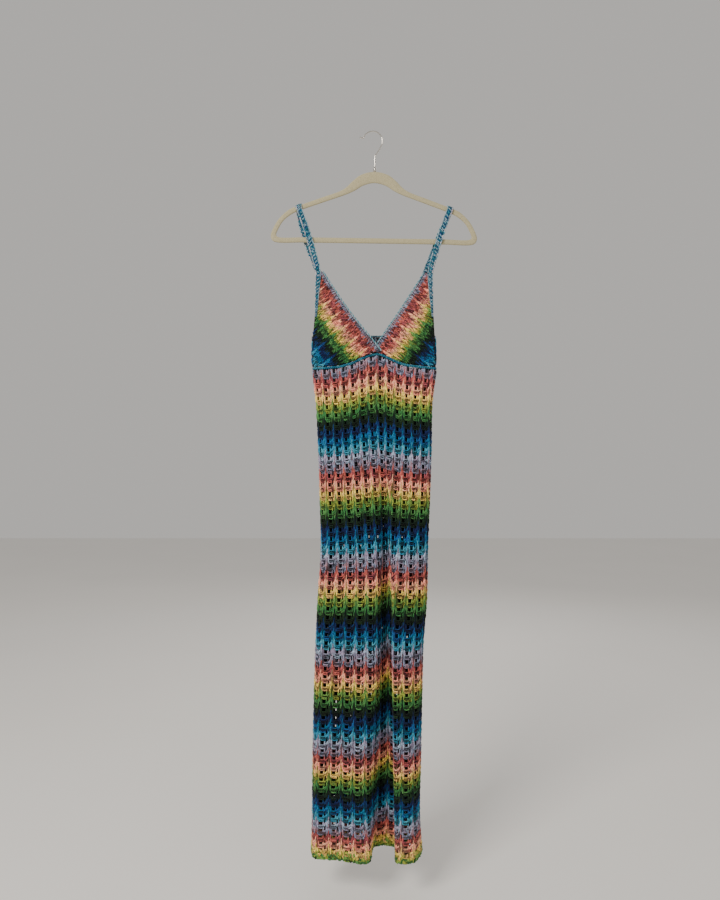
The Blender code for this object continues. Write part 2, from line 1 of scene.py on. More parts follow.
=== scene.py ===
"""Looks of the crochet dress on its hanger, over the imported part. add_mesh turns millimetres into metres."""
import math

import bpy
import numpy as np
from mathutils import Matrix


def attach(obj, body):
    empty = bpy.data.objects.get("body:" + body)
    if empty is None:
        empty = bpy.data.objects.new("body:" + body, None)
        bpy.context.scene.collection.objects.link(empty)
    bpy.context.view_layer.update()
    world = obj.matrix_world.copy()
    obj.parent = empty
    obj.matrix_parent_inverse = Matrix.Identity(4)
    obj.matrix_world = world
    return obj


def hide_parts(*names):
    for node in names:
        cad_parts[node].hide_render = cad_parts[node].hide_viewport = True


MM = 0.001
GAP = 0.3
CLOTH = 2.4
COLUMNS = 14  # on each half of the skirt
ALL_ROUND = 2 * COLUMNS
COLUMN_TURN = 0.26  # how far round the first column line stands from the left side, in columns
COLUMN_PARTS = 12  # samples in a column
ROWS = 60
HALF_WAY = 30  # the row at which the skirt's yarn is parted into two pieces
HEM_Z = -1551.5

SKIRT_SECTIONS = (
    # z, left and right side edges, side plane, left part's depth, brow of the left fold, bottom of
    # the pleat, crest of the right fold, lift of the rows in the pleat, depth of the back and its waves
    "z left right side_y lobe_y brow_x brow_y pit_x pit_y crest_x crest_y lift back_y wave".split(),
    (-514, -133.5, 134, 0, -13.5, -12, -14, 4, -14, 18, -14, 0, 12, 0),
    (-579, -125.7, 125.5, 0, -15, -12, -16, 5, -15, 18, -16, 0, 14, 1.5),
    (-687, -120.3, 123.2, 0, -17, -5.4, -18, 7.5, -13, 20.2, -19, 0, 16, 2.5),
    (-795, -117.1, 119.7, 0, -18, 3, -22, 17.5, -7, 30.7, -23, 2, 17, 3.5),
    (-903, -115, 115.5, 0, -20, 3, -26, 20.8, 0, 34.8, -28, 4, 18.5, 4),
    (-1011, -122, 113.3, 0, -22, 3.5, -30, 18.8, 5, 36.6, -33, 7, 20.5, 4.5),
    (-1097, -126.2, 106.5, 0, -24, 2.8, -34, 20, 8, 37, -37, 10, 22, 5),
    (-1205, -129.8, 103.5, 0, -26, -3, -38, 20, 9, 38, -42, 12, 23, 5),
    (-1356, -133.1, 100.5, 0, -30, -15, -44, 16, 10, 40.2, -46, 12, 24, 5.5),
    (-1486, -134.1, 98.4, 0, -33, -15.3, -48, 6, 11, 42.8, -49, 8, 25, 5.5),
    (-1552, -136, 103, 0, -33, -12.2, -50, -2, 11, 44.2, -50, 4, 25, 5.5),
)
BACK_WAVES = 3
SKIRT_LEVELS = 200  # heights at which the skirt is sampled
ROW_HEIGHTS = (
    # row line and its z
    (0, -515.05), (1, -535.6), (2, -554.2), (11, -719.2), (22, -929.8), (33, -1129.8), (44, -1320.2),
    (55, -1487), (59, -1541), (ROWS, HEM_Z),
)

WAIST_Z = -511.0
WAIST_RISE = (
    # x, and how far the seam in front stands above WAIST_Z there
    (-104, 0), (-74, 2.6), (-53, 8.6), (-42, 12.8), (-32, 18), (-21, 22.9), (-10, 26.8),
    (0, 29.4), (6, 30.2), (12, 29.4), (22, 24.8), (32.5, 19.9), (43, 15), (54, 10.3),
    (65, 7), (75, 5), (97, 2.6), (130, 0),
)
RISE_FADE = 250.0  # how far down the skirt the row lines follow that rise
RISE_POWER = 1.2
BAND_HEIGHT = 6.5
BAND_CLEAR = 0.8

BODICE_EDGE = (
    # z, and how far left and right the cups' outer edges lie
    (-308, 122, 122), (-359, 124.3, 124), (-380, 126.2, 125.6), (-405, 129.8, 128.6),
    (-439, 134.2, 131.8), (-474, 136, 133), (-512, 134.4, 133.6),
)
UNDERARM_Z = -441.0
ARMHOLE_TOP_Z = -385.0
CUP_PLANE_Y = -8.0
CUP_BULGE = 12.0
CUP_CENTRE = (72.0, -438.0)
CUP_SPREAD = (46.0, 52.0)
CUP_EDGE_FADE = (0.82, 1.0)
CUP_WAIST_FADE = 30.0
LEFT_NECK = ((-113.5, -302.0), (-57.5, -386.0), (15.0, -478.0))
RIGHT_NECK = ((110.0, -304.0), (51.5, -395.0), (-5.2, -477.6))
CUP_OVERLAP = 4.0
OVERLAP_X = (-32.0, -12.0)  # where it starts and is full
EDGING_HALF = 1.6  # half width of an edging
EDGING_CLEAR = 0.5

STRAP_THICK = 3.0
STRAP_CLEAR = 0.8
STRAP_OFF_BACK = 1.1
STRAP_FRONT_RUN = (
    # z, width, and x of the left and right strap beside the cups
    (-401, 3.5, -125.6, 125.2), (-376, 7, -124.4, 123.4), (-338, 10.5, -122.4, 121),
    (-306, 12.5, -121.2, 120.4),
)
STRAP_BOW = 2.8  # inward, half way between the cup and the hanger
STRAP_BOW_PARTS = (0.3, 0.6, 0.85)
STRAPS = (
    # node, x on the hanger's arm, x where it ends on the back, and how far its back run swings outward
    ("strap_left", -163.6, -75.0, 6.0), ("strap_right", 163.6, 53.0, 0.0),
)
STRAP_BACK_END_Z = -452.0
STRAP_ON_BACK = 0.95  # share of the back run from which it lies on the bodice
STRAP_BACK_RUN = ((0.12, 0.8), (0.25, 1.0), (0.42, 0.25), (0.7, 0.0), (STRAP_ON_BACK, 0.0), (1.0, 0.0))
STRAP_WIDTH = 14.0

HANGER_TILT = math.radians(0.85)
NECK = (1.0, -86.0)
HANGER_THICK = 5.6
HANGER_SIDES = 24
ARMS_ABOVE_Z = -190.0
HANGER_HALF = (
    # x and z of the outer edge and of the inner edge, on the right half
    (0, -86, 0, -110), (29.5, -92.9, 24, -115.5), (46.6, -105.9, 41, -126),
    (59.5, -118.9, 55, -133), (72.3, -127.7, 69, -138.5), (117, -144.4, 112.5, -154),
    (161.9, -161, 158, -170.5), (183.3, -169.9, 177, -179), (204.7, -189.5, 196, -194.5),
    (217.4, -210.8, 207.5, -214), (222.6, -228, 211, -225), (217, -238.7, 207, -229.5),
    (150, -240.5, 150, -229.5), (70, -240.5, 70, -229.5),
)
HOOK_CENTRE = (-3.5, -19.3)
HOOK_RADIUS = 21.1
HOOK_WIRE = 1.5
WIRE_SIDES = 16
HOOK_ARC = (162.0, -28.0)
HOOK_TIP = (-31.2, -10.8)
HOOK_STEM = ((6.0, -44.0), (1.0, -50.5), (0.0, -56.0), (0.0, -66.0))
COLLAR_RADIUS = 3.2
COLLAR_TOP_Z = -77.0

# One cell of the crochet, with u across its column and w down its row. Column lines are at u = 0.
CUSP = 0.95  # rows that the row lines rise at a column line
CUSP_HALF = 0.1  # of a column, the half width of that rise
CUSP_ENDS = (57, 59)  # rows over which it fades at the hem
CELL_YARN = (
    # radius, shade, and (u, w, how far out) of its points
    (1.35, 0, ((0.15, 0.52, 0.1), (0.27, 0.48, 0.7), (0.38, 0.51, 0.5), (0.49, 0.48, 0.7), (0.6, 0.46, 0.2))),
    (1.35, 3, ((0.15, 0.71, 0.3), (0.28, 0.73, 1.1), (0.39, 0.7, 0.8), (0.5, 0.73, 1.1), (0.61, 0.69, 0.3))),
    (1.4, 0, ((0.15, 0.93, 0.1), (0.27, 0.9, 0.6), (0.38, 0.94, 0.4), (0.49, 0.9, 0.6), (0.6, 0.9, 0.1))),
    (1.4, 1, ((0.125, -0.02, 0.2), (0.115, 0.3, 1.1), (0.13, 0.65, 1.0), (0.12, 1.0, 0.3))),
    (1.15, 3, ((0.195, 0.0, 0.0), (0.205, 0.26, 0.6), (0.195, 0.55, 0.2))),
    (1.35, 1, ((0.575, 0.5, 0.3), (0.57, 0.24, 1.1), (0.575, 0.0, 0.3))),
    (1.05, 0, ((0.6, 0.66, 0.1), (0.605, 0.88, 0.5), (0.6, 1.12, 0.1))),
    (1.3, 1, ((0.59, 0.36, 0.3), (0.73, 0.26, 1.1), (0.88, 0.13, 0.5))),
    (1.3, 0, ((0.59, 0.53, 0.3), (0.73, 0.43, 0.9), (0.88, 0.31, 0.5))),
    (1.25, 3, ((0.6, 0.68, 0.2), (0.73, 0.59, 0.8), (0.88, 0.49, 0.4))),
    (1.25, 0, ((0.81, 0.62, 0.2), (0.805, 0.86, 0.8), (0.81, 1.12, 0.2))),
    (1.4, 1, ((0.885, 0.0, 0.3), (0.895, 0.34, 1.1), (0.885, 0.68, 1.1), (0.895, 1.0, 0.4))),
)
CELL_SPIKES = (
    # the same, of the strands that reach into the row above and don't follow the row lines' rise
    (1.4, 2, ((0.0, -0.85, 0.9), (0.006, -0.6, 1.6), (-0.006, -0.3, 1.8), (0.0, 0.0, 1.3), (0.0, 0.3, 0.4))),
    # a dark strand just left of the spike: painted shade of the groove beside it
    (1.0, 3, ((-0.03, -0.75, 0.8), (-0.06, -0.3, 1.3), (-0.07, 0.1, 0.7))),
)
SPIKE_TIP = 0.5  # radius
BULGES = {len(shares): np.array(shares) for shares in (
    # of a strand's radius at its points, by their number
    (0.75, 1.15, 0.75), (0.75, 1.1, 1.1, 0.75), (0.75, 1.15, 0.9, 1.15, 0.75),
)}
YARN_STRAY = (0.008, 0.02, 0.2)  # of a strand, in columns, in rows and outward
YARN_SPREAD = (0.88, 1.1)  # least and most of a strand's radius
ROW_MARGIN = 0.1  # in rows, how far a strand may end past the net's own rows
HOLE_LINES = ((0.0, 0.24, 0.53, 0.645, 0.765, 1.0), (0.0, 0.06, 0.46, 0.78, 1.0))  # across, down
BACK_HOLE_LINES = ((0.0, 0.33, 0.43, 0.69, 0.73, 1.0), (0.0, 0.14, 0.28, 0.92, 1.0))
HOLES = ((1, 0), (1, 1), (3, 0), (3, 3))  # cells of those lines, (across, down), that are left open
OPEN_ROWS = (2, 57)  # the first row with gaps and the first one below without
ROW_STOUTNESS = (  # rows, and how stout the yarn is there
    (0, 16, 48, 56, 60), (1.3, 1.0, 1.0, 1.25, 1.35),
)
BACK_STOUTNESS = 1.2  # the back's yarn lies closer
# the back's closed gaps are covered by the near-black ground, painted shade
BACK_OPEN = 0.15  # share of the skirt's gaps in the back that are clear
GROUND_DEPTH = 0.8  # of the net's ground, under the cloth's middle
ODD_SHADES = 0.4  # share of the strands that take any shade
HEM_TIERS = (
    # pitch, radius, of three points how far in from the rim in rows and how far out, and then the yarns, each
    # as colour * 4 + shade, with their shares
    # the light and dark copies are painted highlight and painted shade as in the cells, the darkest green (23)
    # kept to the lowest two tiers as painted shade under the rim
    (7.2, 2.6, (1.75, 1.5, 1.15), (0.3, 1.4, 0.5), (12, 13, 17), (0.5, 0.15, 0.35)),
    (6.4, 3.0, (1.2, 0.9, 0.65), (0.2, 1.3, 0.2), (12, 16, 17, 20, 21), (0.25, 0.2, 0.3, 0.15, 0.1)),
    (7.6, 3.2, (0.55, 0.25, -0.05), (0.2, 1.0, -0.2), (16, 17, 20, 21, 23), (0.15, 0.15, 0.35, 0.2, 0.15)),
    (7.0, 2.4, (-0.05, 0.4, 0.9), (0.0, -1.0, -1.0), (16, 17, 20, 21, 23), (0.2, 0.15, 0.35, 0.2, 0.1)),
)
HEM_LEAN = (-0.6, 0.9)  # least and most, in pitches
HEM_STRAY = 0.06
HEM_TAPER = np.array((0.6, 1.0, 0.6))
HEM_SPREAD = (0.75, 1.1)
YARN_SIDES = 5
MIDDLE = -CLOTH / 2  # the cloth's middle surface, under its outer face

YARNS = (
    # name, main colour and second colour (linear), in the order of the rows
    ("lavender", (0.21, 0.125, 0.155), (0.15, 0.17, 0.25)),
    ("dusty_red", (0.34, 0.075, 0.06), (0.20, 0.045, 0.055)),
    ("salmon", (0.60, 0.20, 0.14), (0.54, 0.27, 0.17)),
    ("yellow", (0.58, 0.42, 0.085), (0.50, 0.30, 0.11)),
    ("olive", (0.19, 0.22, 0.03), (0.09, 0.19, 0.04)),
    ("green", (0.022, 0.11, 0.03), (0.05, 0.15, 0.04)),
    ("dark_green", (0.002, 0.010, 0.007), (0.005, 0.018, 0.006)),
    ("navy", (0.002, 0.007, 0.045), (0.002, 0.022, 0.08)),
    ("blue", (0.004, 0.05, 0.16), (0.005, 0.10, 0.19)),
    ("teal", (0.018, 0.15, 0.25), (0.04, 0.21, 0.28)),
    ("light_blue", (0.22, 0.28, 0.37), (0.20, 0.17, 0.25)),
)
# Light and dark copies of each yarn by strand: the light and spike ones are painted highlight on forward posts
# and raised spikes, the dark one painted shade, as in grooves; strands that take one at random give uneven
# tone
TONE_AND_PAINTED_LIGHT = (1.05, 1.75, 1.7, 0.38)  # plain, light, spike and dark strands
COMMON_SHADES = (0, 1, 3)  # those of any strand that isn't a spike
# brightness of the nets' near-black ground against its yarn: painted shade in the gaps and recesses between
# strands
GROUND_PAINTED_SHADE = 0.07

rng = np.random.default_rng(7)


def smooth_step(low, high, value):
    part = np.clip((np.asarray(value, float) - low) / (high - low), 0, 1)
    return part * part * (3 - 2 * part)


def curve_through(points, steps=12, closed=False):
    """A dense centripetal Catmull-Rom curve through the points."""
    knots = np.array(points, float)
    if closed:
        knots = np.vstack([knots[-1], knots, knots[:2]])
    else:
        knots = np.vstack([2 * knots[0] - knots[1], knots, 2 * knots[-1] - knots[-2]])
    found = []
    for a, b, c, d in zip(knots, knots[1:], knots[2:], knots[3:]):
        t0 = 0.0
        t1 = t0 + math.sqrt(np.linalg.norm(b - a))
        t2 = t1 + math.sqrt(np.linalg.norm(c - b))
        t3 = t2 + math.sqrt(np.linalg.norm(d - c))
        t = np.linspace(t1, t2, steps, endpoint=False)[:, None]

        def between(p, q, start, end):
            return p + (q - p) * (t - start) / (end - start)

        bc = between(b, c, t1, t2)
        abc = between(between(a, b, t0, t1), bc, t0, t2)
        found.append(between(abc, between(bc, between(c, d, t2, t3), t1, t3), t1, t2))
    if not closed:
        found.append(knots[-2:-1])
    return np.vstack(found)


def upright(flat, y=0.0):
    """Points of x and z, set at y."""
    return np.insert(flat, 1, y, axis=-1)


def lengths_along(curve):
    steps = np.linalg.norm(np.diff(curve, axis=0), axis=1)
    return np.concatenate([[0.0], np.cumsum(steps)])


def at_lengths(values, length, wanted):
    """Values given at the points of a curve, whose lengths up to there are known, at the wanted lengths."""
    return np.stack([np.interp(wanted, length, axis) for axis in values.T], axis=-1)


def at_fractions(curve, fractions):
    """Points on the curve at the given fractions of its length."""
    length = lengths_along(curve)
    return at_lengths(curve, length, np.asarray(fractions) * length[-1])


def section_at(z):
    """The skirt's section sizes at one height, by name, from smooth curves through the table."""
    names, rows = SKIRT_SECTIONS[0], np.array(SKIRT_SECTIONS[1:], float)
    heights = -rows[:, 0]
    place = np.interp(-z, heights, np.arange(len(heights)))
    low = min(int(place), len(rows) - 2)
    part = place - low
    slopes = np.gradient(rows, heights, axis=0) * (heights[low + 1] - heights[low])
    square, cube = part * part, part * part * part
    values = (
        rows[low] * (2 * cube - 3 * square + 1)
        + slopes[low] * (cube - 2 * square + part)
        + rows[low + 1] * (3 * square - 2 * cube)
        + slopes[low + 1] * (cube - square)
    )
    return dict(zip(names, values))


def front_section(z):
    """Plan curve of the skirt's front, left to right: rolled side, left part, pleat, right fold."""
    s = section_at(z)
    left, right, side = s["left"], s["right"], s["side_y"] - GAP / 2
    lobe, pit, crest, brow = s["lobe_y"], s["pit_y"], s["crest_y"], s["brow_y"]
    brow_x, pit_x, crest_x = s["brow_x"], s["pit_x"], s["crest_x"]
    return curve_through([
        (left, side), (left + 1.0, side - 4.0), (left + 8.0, lobe + 3.0), (left + 24.0, lobe),
        ((left + brow_x) / 2, lobe * 0.8 + brow * 0.2), (brow_x - 16.0, brow),
        (brow_x, brow * 0.93 + pit * 0.07), (pit_x, brow * 0.12 + pit * 0.88), ((pit_x + crest_x) / 2, pit),
        (crest_x + 0.5, pit * 0.9 + crest * 0.1), (crest_x + 1.0, (pit + crest) / 2),
        (crest_x + 1.5, crest * 0.96 + pit * 0.04), (crest_x + 9.0, crest),
        ((crest_x + right) / 2 + 6.0, crest * 0.75 + lobe * 0.25), (right - 8.0, lobe * 0.8 + 1.0),
        (right - 1.0, side - 4.0), (right, side),
    ])


def back_section(z):
    """Plan curve of the skirt's back from its right side to its left, with soft even folds."""
    s = section_at(z)
    left, right, side = s["left"], s["right"], s["side_y"] + GAP / 2
    points = [(right, side), (right - 1.0, side + 4.0), (right - 7.0, s["back_y"] - 4.0)]
    first, last = right - 20.0, left + 20.0
    for step in range(4 * BACK_WAVES + 1):
        part = step / (4 * BACK_WAVES)
        swing = math.cos(2 * math.pi * BACK_WAVES * part)
        points.append((first + (last - first) * part, s["back_y"] + s["wave"] * swing))
    points += [(left + 7.0, s["back_y"] - 4.0), (left + 1.0, side + 4.0), (left, side)]
    return curve_through(points)


def waist_rise(x):
    places, rises = np.array(WAIST_RISE).T
    return np.interp(x, places, rises)


SKIRT_TOP = WAIST_Z - BAND_HEIGHT / 2 - BAND_CLEAR
WAIST_FRONT = front_section(SKIRT_TOP)
WAIST_BACK = back_section(SKIRT_TOP)[::-1]


def bodice_reach(x, z):
    """How far the bodice reaches from the middle at z, on the side of x."""
    heights, left, right = np.array(BODICE_EDGE).T
    down = -np.asarray(z, float)
    return np.where(np.asarray(x) < 0, np.interp(down, -heights, left), np.interp(down, -heights, right))


def waist_place(x, z, waist):
    """The x on the waist's curve that lies under x and z of the bodice."""
    ends = np.where(np.asarray(x) < 0, -waist[0, 0], waist[-1, 0])
    return np.clip(np.asarray(x) / bodice_reach(x, z), -1, 1) * ends


def bodice_front_y(x, z):
    """Outer face of the cups at x and z."""
    x, z = np.asarray(x, float), np.asarray(z, float)
    low = np.interp(waist_place(x, z, WAIST_FRONT), WAIST_FRONT[:, 0], WAIST_FRONT[:, 1])
    flat = smooth_step(UNDERARM_Z, ARMHOLE_TOP_Z, z)
    bulge = 0
    for side in (-1, 1):
        across = (x - side * CUP_CENTRE[0]) / CUP_SPREAD[0]
        along = (z - CUP_CENTRE[1]) / CUP_SPREAD[1]
        bulge = bulge + CUP_BULGE * np.exp(-(across**2) - along**2)
    off_edge = 1 - smooth_step(*CUP_EDGE_FADE, np.abs(x) / bodice_reach(x, z))
    off_waist = smooth_step(0, CUP_WAIST_FADE, z - WAIST_Z - waist_rise(x))
    return low * (1 - flat) + CUP_PLANE_Y * flat - bulge * off_edge * off_waist


def left_cup_y(x, z):
    return bodice_front_y(x, z) - CUP_OVERLAP * smooth_step(*OVERLAP_X, x)


def back_x(waist_x, z):
    """The x at height z of the bodice's back, over a place on the waist."""
    ends = np.where(waist_x < 0, -WAIST_BACK[0, 0], WAIST_BACK[-1, 0])
    return waist_x / ends * bodice_reach(waist_x, z)


def back_y(x, z):
    return np.interp(waist_place(x, z, WAIST_BACK), WAIST_BACK[:, 0], WAIST_BACK[:, 1])


# Meshes

def add_object(name, data, place_at=(0, 0, 0)):
    made = bpy.data.objects.new(name, data)
    bpy.context.scene.collection.objects.link(made)
    made.location = place_at
    return made


def add_mesh(name, points, faces, materials, face_slots=None, smooth=True):
    """A mesh object from points in millimetres and an array of faces of equal size, set in one go."""
    points, faces = np.asarray(points, float), np.asarray(faces, np.int32)
    mesh = bpy.data.meshes.new(name)
    mesh.vertices.add(len(points))
    mesh.vertices.foreach_set("co", (points * MM).astype(np.float32).ravel())
    size = faces.shape[1]
    mesh.loops.add(faces.size)
    mesh.loops.foreach_set("vertex_index", faces.ravel())
    mesh.polygons.add(len(faces))
    mesh.polygons.foreach_set("loop_start", np.arange(0, faces.size, size, dtype=np.int32))
    for material in materials:
        mesh.materials.append(material)
    if face_slots is not None:
        mesh.polygons.foreach_set("material_index", np.asarray(face_slots, np.int32))
    mesh.polygons.foreach_set("use_smooth", np.full(len(faces), smooth))
    mesh.update(calc_edges=True)
    return add_object(name, mesh)


def grid_faces(shape):
    """The four corners of each face of a grid of points, by row and column."""
    index = np.arange(shape[0] * shape[1]).reshape(shape[:2])
    return np.stack([index[:-1, :-1], index[1:, :-1], index[1:, 1:], index[:-1, 1:]], axis=-1)


def unit(vectors):
    return vectors / np.maximum(np.linalg.norm(vectors, axis=-1, keepdims=True), 1e-9)


class Yarn:
    """Collects strands as tubes. Each add() takes strands x points x 3, normals, radii and slots."""

    def __init__(self, sides=YARN_SIDES):
        self.sides, self.points, self.faces, self.slots, self.count = sides, [], [], [], 0

    def add(self, paths, normals, radii, slots):
        paths = np.asarray(paths, float)
        strands, stations = paths.shape[:2]
        along = unit(np.gradient(paths, axis=1))
        side = unit(np.cross(along, np.broadcast_to(normals, paths.shape)))
        up = np.cross(side, along)
        angles = 2 * math.pi * np.arange(self.sides) / self.sides
        radii = np.broadcast_to(radii, paths.shape[:2])[..., None, None]
        ring = side[:, :, None] * np.cos(angles)[:, None] + up[:, :, None] * np.sin(angles)[:, None]
        self.points.append((paths[:, :, None] + ring * radii).reshape(-1, 3))
        here = np.arange(strands * stations * self.sides).reshape(strands, stations, self.sides)
        after = np.roll(here, -1, axis=2)
        quads = np.stack([here[:, :-1], here[:, 1:], after[:, 1:], after[:, :-1]], axis=-1)
        self.faces.append(quads.reshape(-1, 4) + self.count)
        self.count += here.size
        spread = np.broadcast_to(np.asarray(slots)[:, None], (strands, (stations - 1) * self.sides))
        self.slots.append(spread.ravel())

    def make(self, name, materials):
        points, faces = np.vstack(self.points), np.vstack(self.faces)
        return add_mesh(name, points, faces, materials, np.concatenate(self.slots))


def bilinear(grid, i, j):
    """Values of a grid at fractional places, clamped to its edges."""
    i = np.clip(i, 0, grid.shape[0] - 1.000001)
    j = np.clip(j, 0, grid.shape[1] - 1.000001)
    i0, j0 = i.astype(int), j.astype(int)
    a, b = (i - i0)[..., None], (j - j0)[..., None]
    return (
        grid[i0, j0] * (1 - a) * (1 - b) + grid[i0 + 1, j0] * a * (1 - b)
        + grid[i0, j0 + 1] * (1 - a) * b + grid[i0 + 1, j0 + 1] * a * b
    )


class Cloth:
    """A surface by column and row: sampled places and outward normals. round_trip is a tube's columns."""

    def __init__(self, grid, level_of_row, rows, round_trip=0):
        self.grid, self.level_of_row, self.rows, self.round_trip = grid, level_of_row, rows, round_trip
        across, down = np.gradient(grid, axis=1), np.gradient(grid, axis=0)
        self.normals = unit(np.cross(down, across))

    def at(self, column, row):
        level = self.level_of_row(np.maximum(row, 0))
        column = (column + COLUMN_TURN) % self.round_trip if self.round_trip else np.maximum(column, 0)
        place = column * COLUMN_PARTS
        return bilinear(self.grid, level, place), unit(bilinear(self.normals, level, place))


def skirt_cloth():
    """The skirt's outer face, by column from the left side round the front and back, and by row."""
    samples = np.arange(COLUMNS * COLUMN_PARTS + 1) / (COLUMNS * COLUMN_PARTS)
    rows = []
    for z in np.linspace(SKIRT_TOP, HEM_Z, SKIRT_LEVELS):
        s = section_at(z)
        front = at_fractions(front_section(z), samples)
        back = at_fractions(back_section(z), samples)[1:]
        heights = z + waist_rise(front[:, 0]) * math.exp(-(((SKIRT_TOP - z) / RISE_FADE) ** RISE_POWER))
        deep = smooth_step(s["lobe_y"], s["pit_y"] + 1e-6, front[:, 1]) if s["lift"] > 0.01 else 0
        inside = (front[:, 0] > s["brow_x"] - 5) & (front[:, 0] < s["crest_x"] + 6)
        heights = heights + s["lift"] * deep * inside
        xy = np.vstack([front, back])
        rows.append(np.column_stack([xy, np.concatenate([heights, np.full(len(back), z)])]))
    grid = np.array(rows)
    places, zs = np.array(ROW_HEIGHTS).T

    def level_of_row(row):
        return (np.interp(row, places, zs) - SKIRT_TOP) / (HEM_Z - SKIRT_TOP) * (SKIRT_LEVELS - 1)

    cloth = Cloth(grid, level_of_row, ROWS, ALL_ROUND)
    ends = unit(cloth.normals[:, 0] + cloth.normals[:, -1])
    cloth.normals[:, 0] = cloth.normals[:, -1] = ends
    return cloth


def cusp(u, row):
    """How far the row lines rise at u across a column, in rows, downward being positive."""
    off = np.abs((np.asarray(u) + 0.5) % 1 - 0.5)
    return -CUSP * np.exp(-((off / CUSP_HALF) ** 2)) * (1 - smooth_step(*CUSP_ENDS, row))


def net_yarn(cloth, columns, rows, colours, stoutness=1.0):
    """Yarn of a block of cells. colours gives the colour of each row."""
    stray_across, stray_down, stray_out = YARN_STRAY
    yarn = Yarn()
    c, r = (g.ravel() for g in np.meshgrid(np.arange(*columns), np.arange(*rows), indexing="ij"))
    for radius, shade, points in CELL_YARN + CELL_SPIKES:
        spike = (radius, shade, points) in CELL_SPIKES
        u, w, out = np.array(points).T
        column = c[:, None] + u + rng.normal(0, stray_across, (len(c), 1))
        row = r[:, None] + w + rng.normal(0, stray_down, (len(c), 1))
        row = row + (0 if spike else cusp(column, row))
        places, normals = cloth.at(column, row)
        out = out + MIDDLE + rng.normal(0, stray_out, (len(c), 1))
        radii = np.linspace(SPIKE_TIP if spike else radius, radius, len(u)) * BULGES[len(u)]
        radii = radii * rng.uniform(*YARN_SPREAD, (len(c), 1))
        radii = radii * stoutness * np.interp(r, *ROW_STOUTNESS)[:, None]
        kept = (row.max(axis=1) > ROW_MARGIN) & (row.max(axis=1) < cloth.rows + ROW_MARGIN)
        places = places + normals * out[..., None]
        shades = np.where(rng.random(len(c)) < ODD_SHADES, rng.choice(COMMON_SHADES, len(c)), shade)
        yarn.add(places[kept], normals[kept], radii[kept], (colours[r] * len(TONE_AND_PAINTED_LIGHT) + shades)[kept])
    return yarn


def net_base(name, cloth, columns, rows, colours, materials):
    """The ground that the yarn lies on, near-black as painted shade between the strands, with the net's gaps
    left open.

    Columns past the first half are the skirt's back, whose gaps are smaller and mostly closed by that painted
    shade.
    """
    def lines(count, starts):
        return np.concatenate([k + np.array(starts[:-1]) for k in range(count)] + [[float(count)]])

    u, w = np.meshgrid(lines(columns, HOLE_LINES[0]), lines(rows, HOLE_LINES[1]))
    back_u, back_w = np.meshgrid(lines(columns, BACK_HOLE_LINES[0]), lines(rows, BACK_HOLE_LINES[1]))
    behind = u >= COLUMNS
    u, w = np.where(behind, back_u, u), np.where(behind, back_w, w)
    places, normals = cloth.at(u, w + cusp(u, w))
    places = places + normals * (MIDDLE - GROUND_DEPTH)
    quads = grid_faces(places.shape)
    down, across = np.meshgrid(np.arange(quads.shape[0]), np.arange(quads.shape[1]), indexing="ij")
    n_u, n_w = (len(one_way) - 1 for one_way in HOLE_LINES)
    open_here = np.zeros(quads.shape[:2], bool)
    for a, b in HOLES:
        open_here |= (across % n_u == a) & (down % n_w == b)
    row_of, column_of = down // n_w, across // n_u
    closed = (column_of >= COLUMNS) & (rng.random((rows, columns))[row_of, column_of] > BACK_OPEN)
    kept = ~open_here | closed | (row_of < OPEN_ROWS[0]) | (row_of >= OPEN_ROWS[1])
    return add_mesh(name, places.reshape(-1, 3), quads[kept], materials, colours[row_of[kept]])


# Materials

def shader_material(name, sockets):
    """A new material, its node tree and its shader, with constants on the shader's own sockets."""
    made = bpy.data.materials.new(name)
    made.use_nodes = True
    shader = made.node_tree.nodes["Principled BSDF"]
    for socket, value in sockets.items():
        shader.inputs[socket].default_value = value
    return made, made.node_tree, shader


def add_node(tree, kind, **values):
    node = tree.nodes.new(kind)
    for key, value in values.items():
        if key in node.inputs:
            node.inputs[key].default_value = value
        else:
            setattr(node, key, value)
    return node


def two_tone(tree, first, second, low=0.0, high=1.0):
    """A ramp between two colours."""
    ramp = add_node(tree, "ShaderNodeValToRGB")
    for stop, position, colour in zip(ramp.color_ramp.elements, (low, high), (first, second)):
        stop.position, stop.color = position, (*colour, 1)
    return ramp


def join(tree, *links):
    for source, output, target, socket in links:
        tree.links.new(source.outputs[output], target.inputs[socket])


def noises(tree, *sizes):
    """Noise textures in the object's own coordinates, each of a scale and a detail."""
    where = add_node(tree, "ShaderNodeTexCoord")
    found = [add_node(tree, "ShaderNodeTexNoise", Scale=scale, Detail=detail) for scale, detail in sizes]
    join(tree, *((where, "Object", noise, "Vector") for noise in found))
    return found


def yarn_material(name, first, second, fleck=0.55):
    """Cotton yarn: two shades in patches, finer flecks, a fibrous bump and a soft sheen."""
    made, tree, shader = shader_material(name, {
        "Roughness": 0.8, "Specular IOR Level": 0.2, "Sheen Weight": 0.06, "Sheen Roughness": 0.5})
    patches, fine, fibres = noises(tree, (95.0, 2.0), (420.0, 2.0), (1500.0, 1.0))
    ramp = two_tone(tree, first, second, 0.42, 0.60)
    shade = add_node(tree, "ShaderNodeMapRange", **{
        "From Min": 0.3, "From Max": 0.7, "To Min": 1 - fleck, "To Max": 1 + fleck})
    mixed = add_node(tree, "ShaderNodeMix", data_type="RGBA", blend_type="MULTIPLY")
    mixed.inputs[0].default_value = 1.0
    bump = add_node(tree, "ShaderNodeBump", Strength=0.5, Distance=0.0006)
    join(tree, (patches, "Fac", ramp, "Fac"), (fine, "Fac", shade, "Value"), (ramp, "Color", mixed, 6),
         (shade, "Result", mixed, 7), (mixed, 2, shader, "Base Color"), (fibres, "Fac", bump, "Height"),
         (bump, "Normal", shader, "Normal"))
    return made


